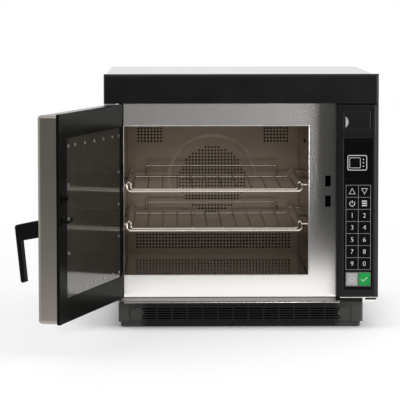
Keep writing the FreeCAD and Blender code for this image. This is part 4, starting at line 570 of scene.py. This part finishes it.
def add_rod(bm, centre, radius, reach, segments):
    """Adds a round rod that lies along X."""
    bmesh.ops.create_cone(
        bm,
        cap_ends=True,
        segments=segments,
        radius1=radius,
        radius2=radius,
        depth=reach,
        matrix=Matrix.Translation(centre) @ Matrix.Rotation(math.radians(90), 4, "Y"),
    )


def round_edges(bm, radius, segments, chosen):
    """Rounds the edges whose two ends both pass a test."""
    edges = [e for e in bm.edges if all(chosen(v.co) for v in e.verts)]
    bmesh.ops.bevel(
        bm, geom=edges, offset=radius, affect="EDGES", segments=segments, profile=0.5, material=-1
    )


# Perforated rear wall


def cut_lines(bm, faces, axis, places):
    """Cuts some faces of a flat sheet at several places along an axis."""
    normal = Vector((1, 0, 0)) if axis == "x" else Vector((0, 0, 1))
    for place in places:
        edges = {e for f in faces for e in f.edges}
        verts = {v for f in faces for v in f.verts}
        geom = list(faces) + list(edges) + list(verts)
        made = bmesh.ops.bisect_plane(bm, geom=geom, dist=NEAR, plane_co=normal * place, plane_no=normal)
        faces = [g for g in made["geom"] if isinstance(g, bmesh.types.BMFace)]
    return faces


def faces_inside(bm, x0, x1, z0, z1):
    """Faces of a flat sheet whose middle lies in a rectangle."""
    found = []
    for face in bm.faces:
        middle = face.calc_center_median()
        if x0 < middle.x < x1 and z0 < middle.z < z1:
            found.append(face)
    return found


def faces_over(bm, x0, x1, z0, z1):
    """Faces of a flat sheet that overlap a rectangle."""
    found = []
    for face in bm.faces:
        xs = [v.co.x for v in face.verts]
        zs = [v.co.z for v in face.verts]
        across = min(xs) < x1 - NEAR and max(xs) > x0 + NEAR
        upright = min(zs) < z1 - NEAR and max(zs) > z0 + NEAR
        if across and upright:
            found.append(face)
    return found


def open_holes(bm, faces, radius):
    """Makes a round hole in the middle of each square face."""
    cell = math.sqrt(faces[0].calc_area()) / 2
    square = radius * 0.8
    middles = [f.calc_center_median().copy() for f in faces]
    bmesh.ops.inset_individual(bm, faces=faces, thickness=cell - square, use_even_offset=True)
    edges = list({e for f in faces for e in f.edges})
    bmesh.ops.bisect_edges(bm, edges=edges, cuts=2)
    for face, middle in zip(faces, middles):
        for vert in face.verts:
            vert.co = middle + (vert.co - middle).normalized() * radius
    bmesh.ops.delete(bm, geom=faces, context="FACES_ONLY")


class OVEN_OT_rear_wall(bpy.types.Operator):
    """Make the perforated rear wall of the cavity, with its raised disc"""

    bl_idname = "oven.rear_wall"
    bl_label = "Rear wall"

    def execute(self, context):
        """Cuts the sheet into cells, opens the holes and raises the disc."""
        sizes = context.scene.oven_sizes
        x0, x1 = BAFFLE_LOW.x, BAFFLE_HIGH.x
        z0, z1 = BAFFLE_LOW.z, BAFFLE_HIGH.z
        front = BAFFLE_LOW.y + sizes.disc_rise
        half = DISC_SQUARE / 2 * sizes.hole_pitch
        left, right = DISC_X - half, DISC_X + half
        bm = bmesh.new()
        corners = [(x0, z0), (x1, z0), (x1, z1), (x0, z1)]
        bm.faces.new([bm.verts.new((x, front, z)) for x, z in corners])
        cut_lines(bm, bm.faces[:], "z", [DISC_Z - half])
        cut_lines(bm, faces_inside(bm, x0, x1, DISC_Z - half, z1), "x", [left, right])
        cut_lines(bm, faces_inside(bm, left, right, DISC_Z - half, z1), "z", [DISC_Z + half])
        for middle_x in SIDE_BLOCKS_X:
            self.open_block(bm, sizes, middle_x, SIDE_BLOCKS_Z, SIDE_COLUMNS)
        self.open_block(bm, sizes, LOW_BLOCK_X, LOW_BLOCK_Z, LOW_COLUMNS)
        self.raise_disc(bm, sizes, half, front)
        bmesh.ops.recalc_face_normals(bm, faces=bm.faces)
        if sum(f.normal.y * f.calc_area() for f in bm.faces) > 0:
            bmesh.ops.reverse_faces(bm, faces=bm.faces)
        bmesh.ops.solidify(bm, geom=bm.faces[:], thickness=sizes.sheet)
        for x_low, x_high in ((x0, x0 + sizes.sheet), (x1 - sizes.sheet, x1)):
            add_plate(bm, (x_low, front + sizes.sheet, z0), (x_high, BAFFLE_HIGH.y, z1))
        piece = finish_piece("rear_wall", bm, "cabinet", "cavity_steel", "rear_wall_steel_painted_rim")
        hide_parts("fan_baffle")
        return {"FINISHED"}

    @staticmethod
    def open_block(bm, sizes, middle_x, middle_z, columns):
        """Opens a block of holes round a middle."""
        pitch = sizes.hole_pitch
        x0, x1 = middle_x - columns * pitch / 2, middle_x + columns * pitch / 2
        z0, z1 = middle_z - BLOCK_ROWS * pitch / 2, middle_z + BLOCK_ROWS * pitch / 2
        cut_lines(bm, faces_over(bm, x0, x1, z0, z1), "x", [x0, x1])
        cut_lines(bm, faces_over(bm, x0, x1, z0, z1), "z", [z0, z1])
        columns_at = [x0 + i * pitch for i in range(1, columns)]
        rows_at = [z0 + i * pitch for i in range(1, BLOCK_ROWS)]
        cut_lines(bm, faces_inside(bm, x0, x1, z0, z1), "x", columns_at)
        cut_lines(bm, faces_inside(bm, x0, x1, z0, z1), "z", rows_at)
        open_holes(bm, faces_inside(bm, x0, x1, z0, z1), sizes.hole_width / 2)

    def raise_disc(self, bm, sizes, half, front):
        """Puts the raised disc in the square left for it."""
        square = faces_inside(bm, DISC_X - half, DISC_X + half, DISC_Z - half, DISC_Z + half)
        if len(square) != 1:
            raise RuntimeError(f"expected one square face for the disc, found {len(square)}")
        bmesh.ops.bisect_edges(bm, edges=square[0].edges[:], cuts=DISC_SEGMENTS // 4 - 1)
        outer = square[0].edges[:]
        bmesh.ops.delete(bm, geom=square, context="FACES_ONLY")
        place = Matrix.Translation((DISC_X, front, DISC_Z)) @ Matrix.Rotation(math.radians(90), 4, "X")
        ring = bmesh.ops.create_circle(
            bm, cap_ends=True, segments=DISC_SEGMENTS, radius=sizes.disc_radius, matrix=place
        )
        disc = ring["verts"][0].link_faces[0]
        bmesh.ops.bridge_loops(bm, edges=outer + disc.edges[:])
        lip = (LIP_WIDTH, LIP_RISE)
        slope = (SLOPE_WIDTH, sizes.disc_rise - 2 * LIP_RISE)
        for inward, forward in (lip, slope, lip):
            bmesh.ops.inset_individual(bm, faces=[disc], thickness=inward)
            bmesh.ops.translate(bm, verts=disc.verts[:], vec=(0, -forward, 0))
        self.open_field(bm, sizes, disc)

    @staticmethod
    def open_field(bm, sizes, disc):
        """Opens the round field of holes in the disc."""
        pitch = sizes.hole_pitch
        field_z = DISC_Z + sizes.field_rise
        reach = FIELD_CELLS / 2 * pitch
        lines = [(i - FIELD_CELLS / 2) * pitch for i in range(FIELD_CELLS + 1)]
        cells = cut_lines(bm, [disc], "x", [DISC_X + step for step in lines])
        cells = [f for f in cells if abs(f.normal.y) > 0.99]
        cut_lines(bm, cells, "z", [field_z + step for step in lines])
        open_cells = []
        for face in faces_inside(bm, DISC_X - reach, DISC_X + reach, field_z - reach, field_z + reach):
            middle = face.calc_center_median()
            i = round((middle.x - DISC_X) / pitch)
            j = round((middle.z - field_z) / pitch)
            whole = abs(face.calc_area() - pitch * pitch) < 1e-7
            if whole and i * i + j * j <= FIELD_RADIUS_SQUARED:
                open_cells.append(face)
        open_holes(bm, open_cells, sizes.hole_width / 2)


# Keypad


def key_centre(name):
    """Middle of a key's face."""
    low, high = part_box(name)
    return Vector(((low.x + high.x) / 2, low.y, (low.z + high.z) / 2))


def stand_up(bm, centre, thickness):
    """Turns a flat drawing in XY to face the front and thickens it towards the front."""
    bmesh.ops.transform(bm, matrix=Matrix.Rotation(math.radians(90), 4, "X"), verts=bm.verts)
    bmesh.ops.translate(bm, vec=centre, verts=bm.verts)
    bmesh.ops.remove_doubles(bm, verts=bm.verts, dist=NEAR)
    bmesh.ops.recalc_face_normals(bm, faces=bm.faces)
    for face in bm.faces:
        if face.normal.y > 0:
            face.normal_flip()
    made = bmesh.ops.extrude_face_region(bm, geom=bm.faces[:])
    verts = [g for g in made["geom"] if isinstance(g, bmesh.types.BMVert)]
    bmesh.ops.translate(bm, vec=(0, -thickness, 0), verts=verts)
    bmesh.ops.recalc_face_normals(bm, faces=bm.faces)


def draw_stroke(bm, points, width, closed=False):
    """Adds a mitred line of even width through points in the XY plane."""
    count = len(points)
    least_cosine = 0.35
    left, right = [], []
    for i in range(count):
        here = Vector(points[i])
        before = Vector(points[i - 1]) if closed or i else None
        after = Vector(points[(i + 1) % count]) if closed or i < count - 1 else None
        first = (here - before).normalized() if before is not None else (after - here).normalized()
        second = (after - here).normalized() if after is not None else first
        first_side = Vector((-first.y, first.x))
        second_side = Vector((-second.y, second.x))
        mitre = (first_side + second_side).normalized()
        reach = width / 2 / max(least_cosine, mitre.dot(first_side))
        left.append(bm.verts.new((here + mitre * reach).to_3d()))
        right.append(bm.verts.new((here - mitre * reach).to_3d()))
    steps = count if closed else count - 1
    for i in range(steps):
        j = (i + 1) % count
        bm.faces.new((left[i], right[i], right[j], left[j]))


def arc_points(radius, start, end, count, centre=(0.0, 0.0)):
    """Points along an arc, angles in degrees."""
    points = []
    for i in range(count):
        angle = math.radians(start + (end - start) * i / (count - 1))
        points.append((centre[0] + radius * math.cos(angle), centre[1] + radius * math.sin(angle)))
    return points


def digit_bmesh(text, height):
    """A digit as a flat mesh, centred on the origin."""
    curve = bpy.data.curves.new("digit", "FONT")
    curve.body = text
    curve.align_x = "CENTER"
    curve.align_y = "CENTER"
    curve.resolution_u = 4
    curve.offset = -0.004
    holder = bpy.data.objects.new("digit", curve)
    bpy.context.scene.collection.objects.link(holder)
    bpy.context.view_layer.update()
    mesh = bpy.data.meshes.new_from_object(holder)
    bpy.data.objects.remove(holder)
    bpy.data.curves.remove(curve)
    bm = bmesh.new()
    bm.from_mesh(mesh)
    bpy.data.meshes.remove(mesh)
    low_x = min(v.co.x for v in bm.verts)
    high_x = max(v.co.x for v in bm.verts)
    low_y = min(v.co.y for v in bm.verts)
    high_y = max(v.co.y for v in bm.verts)
    bmesh.ops.translate(bm, vec=(-(low_x + high_x) / 2, -(low_y + high_y) / 2, 0), verts=bm.verts)
    size = height / (high_y - low_y)
    bmesh.ops.scale(bm, vec=(size, size, size), verts=bm.verts)
    return bm


class OVEN_OT_key_labels(bpy.types.Operator):
    """Print a digit or a symbol on every key"""

    bl_idname = "oven.key_labels"
    bl_label = "Key labels"

    def execute(self, context):
        """Draws each label flat, then stands it on its key."""
        sizes = context.scene.oven_sizes
        for digit in "1234567890":
            self.place(digit_bmesh(digit, sizes.digit_height), digit, sizes.print_thickness)
        for name, lines in self.symbols(sizes.stroke):
            bm = bmesh.new()
            for points, width, closed in lines:
                draw_stroke(bm, points, width, closed)
            self.place(bm, name, sizes.print_thickness)
        return {"FINISHED"}

    @staticmethod
    def symbols(stroke):
        """Each symbol's key, and its lines as points, width and whether they close."""
        half = 0.0052
        low = 0.0048
        bar = 0.0045
        bar_pitch = 0.0039
        up = [(-half, -low), (half, -low), (0.0, half)]
        down = [(half, low), (-half, low), (0.0, -half)]
        open_ring = arc_points(0.0045, start=125, end=415, count=25, centre=(0.0, -0.0006))
        stem = [(0.0, 0.0053), (0.0, -0.0003)]
        bars = [[(-bar, rise), (bar, rise)] for rise in (-bar_pitch, 0.0, bar_pitch)]
        ring = arc_points(0.0042, start=0, end=352.5, count=48)
        tick = [(-0.0050, -0.0003), (-0.0017, -0.0036), (0.0056, 0.0036)]
        thin, bold, heavy = 0.0011, 0.0013, 0.0021
        return (
            ("up", [(up, stroke, True)]),
            ("down", [(down, stroke, True)]),
            ("power", [(open_ring, thin, False), (stem, thin, False)]),
            ("menu", [(points, heavy, False) for points in bars]),
            ("stop", [(ring, bold, True)]),
            ("start", [(tick, bold, False)]),
        )

    @staticmethod
    def place(bm, name, thickness):
        """Stands a drawing on a key's face."""
        stand_up(bm, key_centre("key_" + name), thickness)
        finish_piece("label_" + name, bm, "button_" + name, "key_black", "label_white")


class OVEN_OT_keypad_lines(bpy.types.Operator):
    """Print the thin lines round the keys"""

    bl_idname = "oven.keypad_lines"
    bl_label = "Keypad lines"

    def execute(self, context):
        """Lays crossing strips between the keys, and a frame round the two lowest."""
        sizes = context.scene.oven_sizes
        y1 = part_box("keypad_overlay")[0].y
        y0 = y1 - sizes.print_thickness
        half = sizes.line_width / 2
        bm = bmesh.new()
        rows = ["key_9", "key_7", "key_5", "key_3", "key_1", "key_power", "key_up"]
        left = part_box("key_9")
        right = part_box("key_0")
        gap = (right[0].x - left[1].x) / 2
        xs = [left[0].x - gap, left[1].x + gap, right[1].x + gap]
        zs = [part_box(rows[0])[0].z - gap] + [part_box(name)[1].z + gap for name in rows]
        self.net(bm, xs, zs, y0, y1, half)
        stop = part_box("key_stop")
        self.net(bm, xs, [stop[0].z - gap, stop[1].z + gap], y0, y1, half)
        finish_piece("keypad_lines", bm, "cabinet", "overlay_film", "line_grey")
        return {"FINISHED"}

    @staticmethod
    def net(bm, xs, zs, y0, y1, half):
        """Adds a net of strips through columns and rows."""
        for x in xs:
            add_plate(bm, (x - half, y0, zs[0] - half), (x + half, y1, zs[-1] + half))
        for z in zs:
            add_plate(bm, (xs[0] - half, y0 + NEAR, z - half), (xs[-1] + half, y1, z + half))


class OVEN_OT_display_picture(bpy.types.Operator):
    """Show a plain picture on the display"""

    bl_idname = "oven.display_picture"
    bl_label = "Display picture"

    def execute(self, context):
        """Draws a rounded frame, a window and three dots."""
        drop = 0.0045
        window_x = -0.0040
        dots_x = 0.0110
        dot_pitch = 0.0060
        dot_line = 0.0011
        middle = (DISPLAY_LOW + DISPLAY_HIGH) / 2
        bm = bmesh.new()
        self.rounded(bm, 0.0, half_x=0.0168, half_y=0.0130, radius=0.0025, width=0.0013)
        self.rounded(bm, window_x, half_x=0.0095, half_y=0.0090, radius=0.0015, width=0.0008)
        for rise in (-dot_pitch, 0.0, dot_pitch):
            dot = arc_points(0.0006, start=0, end=330, count=12, centre=(dots_x, rise))
            draw_stroke(bm, dot, dot_line, True)
        centre = Vector((middle.x, DISPLAY_LOW.y, middle.z - drop))
        stand_up(bm, centre, context.scene.oven_sizes.print_thickness)
        finish_piece("display_picture", bm, "cabinet", "display_glass", "label_white")
        return {"FINISHED"}

    @staticmethod
    def rounded(bm, x, half_x, half_y, radius, width):
        """A rounded rectangle at half height, drawn with a line."""
        points = []
        for i, (sx, sy) in enumerate(((1, 1), (-1, 1), (-1, -1), (1, -1))):
            corner = (x + sx * (half_x - radius), sy * (half_y - radius))
            points += arc_points(radius, start=90 * i, end=90 * i + 90, count=6, centre=corner)
        draw_stroke(bm, points, width, True)


# Trim, and pieces of painted shade and painted reflection


class OVEN_OT_painted_shade_plate(bpy.types.Operator):
    """Make black plates of painted shade under the controls: a long one and a small end piece"""

    bl_idname = "oven.lower_plate"
    bl_label = "Lower plate"

    def execute(self, context):
        """Lays both plates on the front frame, as the sill lies, and rounds their front edges."""
        frame_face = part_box("sill_trim")[1].y
        back = frame_face - 0.0001
        front = frame_face - 0.0030
        top = 0.0508
        bm = bmesh.new()
        # Both plates are painted shade: black sheets where the frame lies in shade under the housing
        add_plate(bm, (0.1760, front, 0.0442), (0.2185, back, top))
        add_plate(bm, (0.2235, front, 0.0478), (0.2430, back, top))
        round_edges(bm, 0.0006, 2, lambda point: point.y < front + 0.001)
        finish_piece("lower_plate", bm, "cabinet", "bezel_plastic")
        return {"FINISHED"}


class OVEN_OT_sill_bead(bpy.types.Operator):
    """Make the bright rolled edge along the bottom of the sill"""

    bl_idname = "oven.sill_bead"
    bl_label = "Sill bead"

    def execute(self, context):
        """Lays a thin rod along the sill's lower edge."""
        low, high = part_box("sill_trim")
        radius = 0.0008
        rise = 0.0014
        end_gap = 0.0005
        bm = bmesh.new()
        centre = ((low.x + high.x) / 2, low.y - radius / 2, low.z + rise)
        add_rod(bm, centre, radius, high.x - low.x - 2 * end_gap, 16)
        for face in bm.faces:
            face.smooth = len(face.verts) == 4
        finish_piece("sill_bead", bm, "cabinet", "front_steel")
        return {"FINISHED"}


class OVEN_OT_cavity_sensor(bpy.types.Operator):
    """Make the small temperature sensor in the cavity's right wall"""

    bl_idname = "oven.cavity_sensor"
    bl_label = "Cavity sensor"

    def execute(self, context):
        """Stands a short stud on the wall and rounds its end."""
        seat_gap = 0.0003
        wall = BAFFLE_HIGH.x + seat_gap
        stud = 0.0020
        radius = 0.0032
        bm = bmesh.new()
        add_rod(bm, (wall - stud / 2, -0.160, 0.327), radius, stud, 24)
        round_edges(bm, 0.0008, 3, lambda point: point.x < wall - 0.0015)
        finish_piece("cavity_sensor", bm, "cabinet", "cavity_steel", "soot_and_shade_metal")
        return {"FINISHED"}


class OVEN_OT_grille_bosses(bpy.types.Operator):
    """Make the oval bosses at the ends of the intake grille"""

    bl_idname = "oven.grille_bosses"
    bl_label = "Grille bosses"

    def execute(self, context):
        """Stands two shallow dished ovals on the grille."""
        half_width = 0.0122
        half_height = 0.0096
        place_x = 0.1868
        rise = 0.0008
        proud = 0.0012
        bm = bmesh.new()
        for side in (-1, 1):
            made = bmesh.ops.create_circle(bm, cap_ends=True, segments=40, radius=1.0)
            bmesh.ops.scale(bm, vec=(half_width, half_height, 1.0), verts=made["verts"])
            bmesh.ops.translate(bm, vec=(side * place_x, 0.0, 0.0), verts=made["verts"])
        low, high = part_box("filter_grille")
        stand_up(bm, Vector((0.0, low.y, (low.z + high.z) / 2 + rise)), proud)
        fronts = [f for f in bm.faces if f.normal.y < -0.99]
        bmesh.ops.inset_individual(bm, faces=fronts, thickness=0.0012, depth=0.0002)
        bmesh.ops.inset_individual(bm, faces=fronts, thickness=0.0022, depth=-0.0008)
        finish_piece("grille_bosses", bm, "filter", "base_plastic", "grille_plastic")
        return {"FINISHED"}


class OVEN_OT_port_notch_highlight(bpy.types.Operator):
    """Make the pale half moon at the port cover's edge, a painted reflection in its finger notch"""

    bl_idname = "oven.port_notch"
    bl_label = "Port notch"

    def execute(self, context):
        """Draws a half moon and stands it on the cover."""
        cover_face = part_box("port_cover")[0].y
        straight_edge = Vector((0.1853, cover_face, 0.3687))
        thickness = 0.0002
        bm = bmesh.new()
        rim = arc_points(0.01183, start=-56.0, end=56.0, count=13, centre=(-0.00663, 0.0))
        bm.faces.new([bm.verts.new((x, y, 0.0)) for x, y in rim])
        stand_up(bm, straight_edge, thickness)
        # The pale grey half moon is a painted reflection
        finish_piece("port_notch", bm, "port_flap", "bezel_plastic", "key_grey")
        return {"FINISHED"}


# Finishes


class OVEN_OT_finishes(bpy.types.Operator):
    """Give every part of the oven its finish"""

    bl_idname = "oven.finishes"
    bl_label = "Finishes"

    def execute(self, context):
        """Makes the finishes and puts each on the nodes of its slot."""
        all_finishes(context.scene.oven_colours, context.scene.oven_sizes)
        for entry in frame["record"]["subparts"]:
            name = entry["node"]
            node = frame["nodes"][name]
            chosen = material(OWN_FINISH.get(name, entry["material_slot"]))
            for slot in node.material_slots:
                slot.material = chosen
            if not node.material_slots:
                node.data.materials.append(chosen)
        return {"FINISHED"}


# Stage


def aim(obj, location, target):
    """Puts a lamp at a place and turns it to a target."""
    location = Vector(location)
    way = Vector(target) - location
    obj.matrix_world = Matrix.Translation(location) @ way.to_track_quat("-Z", "Y").to_matrix().to_4x4()


def area_lamp(name, size, power, location, target):
    """A large soft lamp."""
    data = bpy.data.lights.new(name, "AREA")
    data.shape = "RECTANGLE"
    data.size, data.size_y = size
    data.energy = power
    lamp = bpy.data.objects.new(name, data)
    lamp.visible_camera = False
    bpy.context.scene.collection.objects.link(lamp)
    aim(lamp, location, target)


def floor_paper(stage):
    """White paper that keeps a soft shadow near the oven and is plain white further out."""
    finish = Finish("floor_paper", stage.floor_colour, 0.0, 0.6, 0.2)
    finish.set_colour(finish.tint(finish.noise(40.0, 4.0), 0.995, 1.0))
    oven_edge = 0.27
    glow_start = 0.34
    white_start = 0.8
    white_end = 1.9
    distance = finish.sum("MAXIMUM", finish.axis("X", True), finish.axis("Y", True))
    near = finish.spread(distance, 0.0, stage.floor_glow, oven_edge, glow_start)
    far = finish.spread(distance, 0.0, 1.0 - stage.floor_glow, white_start, white_end)
    path = finish.nodes.new("ShaderNodeLightPath").outputs
    seen = finish.sum("MAXIMUM", path["Is Camera Ray"], path["Is Glossy Ray"])
    seen = finish.sum("MAXIMUM", seen, path["Is Transmission Ray"])
    amount = finish.sum("MULTIPLY", seen, finish.sum("ADD", near, far))
    glow = finish.nodes.new("ShaderNodeEmission")
    mix = finish.nodes.new("ShaderNodeMixShader")
    finish.links.new(amount, mix.inputs["Fac"])
    finish.links.new(finish.shader.outputs["BSDF"], mix.inputs[1])
    finish.links.new(glow.outputs["Emission"], mix.inputs[2])
    finish.links.new(mix.outputs["Shader"], finish.nodes["Material Output"].inputs["Surface"])
    return finish.material


class OVEN_OT_stage(bpy.types.Operator):
    """Set up the floor, the backdrop, the lamps and the camera"""

    bl_idname = "oven.stage"
    bl_label = "Stage"

    def execute(self, context):
        """Builds the plain pale stage round the oven."""
        stage = context.scene.oven_stage
        self.add_floor(stage)
        self.add_room(context.scene, stage)
        middle = (0.0, 0.0, 0.2)
        above = (-0.6, -1.8, 2.6)
        table = (0.0, -0.85, 0.002)
        over_camera = (0.0, -3.6, 1.3)
        right = (1.294, -1.052, 0.42)
        opening = (0.1, -0.28, 0.3)
        area_lamp("key_lamp", (2.6, 1.6), stage.key_power, above, middle)
        area_lamp("low_lamp", (0.9, 0.5), stage.low_power, table, (0.0, -0.85, 1.0))
        area_lamp("front_lamp", (1.6, 0.9), stage.front_power, over_camera, middle)
        area_lamp("side_lamp", (0.48, 0.6), stage.side_power, right, opening)
        self.add_camera(context.scene, stage)
        return {"FINISHED"}

    @staticmethod
    def add_floor(stage):
        """A pale table that ends a little in front of the oven."""
        bm = bmesh.new()
        half_depth = 1.6
        made = bmesh.ops.create_grid(bm, x_segments=24, y_segments=24, size=1.0)
        bmesh.ops.scale(bm, vec=(stage.floor_side, half_depth, 1.0), verts=made["verts"])
        place = (0.0, half_depth - stage.floor_reach, stage.floor_height)
        bmesh.ops.translate(bm, vec=place, verts=made["verts"])
        mesh = bpy.data.meshes.new("floor")
        bm.to_mesh(mesh)
        bm.free()
        floor = bpy.data.objects.new("floor", mesh)
        bpy.context.scene.collection.objects.link(floor)
        mesh.materials.append(floor_paper(stage))

    @staticmethod
    def add_room(scene, stage):
        """Plain room light, brighter behind the oven than in front, and white to the camera."""
        world = bpy.data.worlds.new("room")
        scene.world = world
        world.use_nodes = True
        nodes, links = world.node_tree.nodes, world.node_tree.links
        background = nodes["Background"]
        background.inputs["Color"].default_value = (1.0, 1.0, 1.0, 1.0)
        place = nodes.new("ShaderNodeTexCoord")
        parts = nodes.new("ShaderNodeSeparateXYZ")
        links.new(place.outputs["Generated"], parts.inputs["Vector"])
        sides = nodes.new("ShaderNodeMapRange")
        sides.inputs["From Min"].default_value = -0.6
        sides.inputs["From Max"].default_value = 0.6
        sides.inputs["To Min"].default_value = stage.left_level
        sides.inputs["To Max"].default_value = stage.right_level
        links.new(parts.outputs["X"], sides.inputs["Value"])
        front = nodes.new("ShaderNodeMapRange")
        front.interpolation_type = "SMOOTHSTEP"
        front.inputs["From Min"].default_value = -0.87
        front.inputs["From Max"].default_value = -0.60
        front.inputs["To Min"].default_value = stage.front_level
        links.new(sides.outputs["Result"], front.inputs["To Max"])
        links.new(parts.outputs["Y"], front.inputs["Value"])
        path = nodes.new("ShaderNodeLightPath")
        mix = nodes.new("ShaderNodeMix")
        mix.inputs["B"].default_value = 1.0
        links.new(path.outputs["Is Camera Ray"], mix.inputs["Factor"])
        links.new(front.outputs["Result"], mix.inputs["A"])
        links.new(mix.outputs["Result"], background.inputs["Strength"])

    @staticmethod
    def add_camera(scene, stage):
        """A camera at the photograph's viewing angle."""
        data = bpy.data.cameras.new("camera")
        data.lens = stage.lens
        data.sensor_width = 36.0
        data.clip_end = 100.0
        camera = bpy.data.objects.new("camera", data)
        scene.collection.objects.link(camera)
        place = (-0.1218, -4.9815, 0.6048)
        pitch, yaw, roll = 0.0800, 0.0103, -0.0012
        flat = math.cos(pitch)
        ahead = Vector((math.sin(yaw) * flat, math.cos(yaw) * flat, -math.sin(pitch)))
        level = Vector((math.cos(yaw), -math.sin(yaw), 0.0))
        up = level.cross(ahead)
        right = level * math.cos(roll) + up * math.sin(roll)
        up = right.cross(ahead)
        turn = Matrix((right, up, -ahead)).transposed().to_4x4()
        camera.matrix_world = Matrix.Translation(place) @ turn
        scene.camera = camera


class OVEN_PT_panel(bpy.types.Panel):
    """Sidebar panel with the oven's steps"""

    bl_idname = "OVEN_PT_panel"
    bl_label = "Oven"
    bl_space_type = "VIEW_3D"
    bl_region_type = "UI"
    bl_category = "Oven"

    def draw(self, context):
        """Lists the steps, then the sizes, the stage and the colours."""
        layout = self.layout
        for step in STEPS:
            layout.operator(step.bl_idname)
        for group in (context.scene.oven_sizes, context.scene.oven_stage, context.scene.oven_colours):
            box = layout.box()
            for name in group.__annotations__:
                box.prop(group, name)


STEPS = (
    OVEN_OT_finishes,
    OVEN_OT_rear_wall,
    OVEN_OT_key_labels,
    OVEN_OT_keypad_lines,
    OVEN_OT_display_picture,
    OVEN_OT_painted_shade_plate,
    OVEN_OT_sill_bead,
    OVEN_OT_cavity_sensor,
    OVEN_OT_grille_bosses,
    OVEN_OT_port_notch_highlight,
    OVEN_OT_stage,
)
CLASSES = (OvenColours, OvenSizes, OvenStage) + STEPS + (OVEN_PT_panel,)


def register():
    """Registers the classes and the scene's settings."""
    for cls in CLASSES:
        bpy.utils.register_class(cls)
    bpy.types.Scene.oven_colours = bpy.props.PointerProperty(type=OvenColours)
    bpy.types.Scene.oven_sizes = bpy.props.PointerProperty(type=OvenSizes)
    bpy.types.Scene.oven_stage = bpy.props.PointerProperty(type=OvenStage)


def unregister():
    """Removes the scene's settings and the classes."""
    del bpy.types.Scene.oven_stage
    del bpy.types.Scene.oven_sizes
    del bpy.types.Scene.oven_colours
    for cls in reversed(CLASSES):
        bpy.utils.unregister_class(cls)


def main():
    """Makes the whole scene."""
    register()
    scene = bpy.context.scene
    scene.view_settings.view_transform = "Standard"
    bpy.ops.oven.finishes()
    bpy.ops.oven.rear_wall()
    bpy.ops.oven.key_labels()
    bpy.ops.oven.keypad_lines()
    bpy.ops.oven.display_picture()
    bpy.ops.oven.lower_plate()
    bpy.ops.oven.sill_bead()
    bpy.ops.oven.cavity_sensor()
    bpy.ops.oven.grille_bosses()
    bpy.ops.oven.port_notch()
    bpy.ops.oven.stage()


if __name__ == "__main__":
    main()
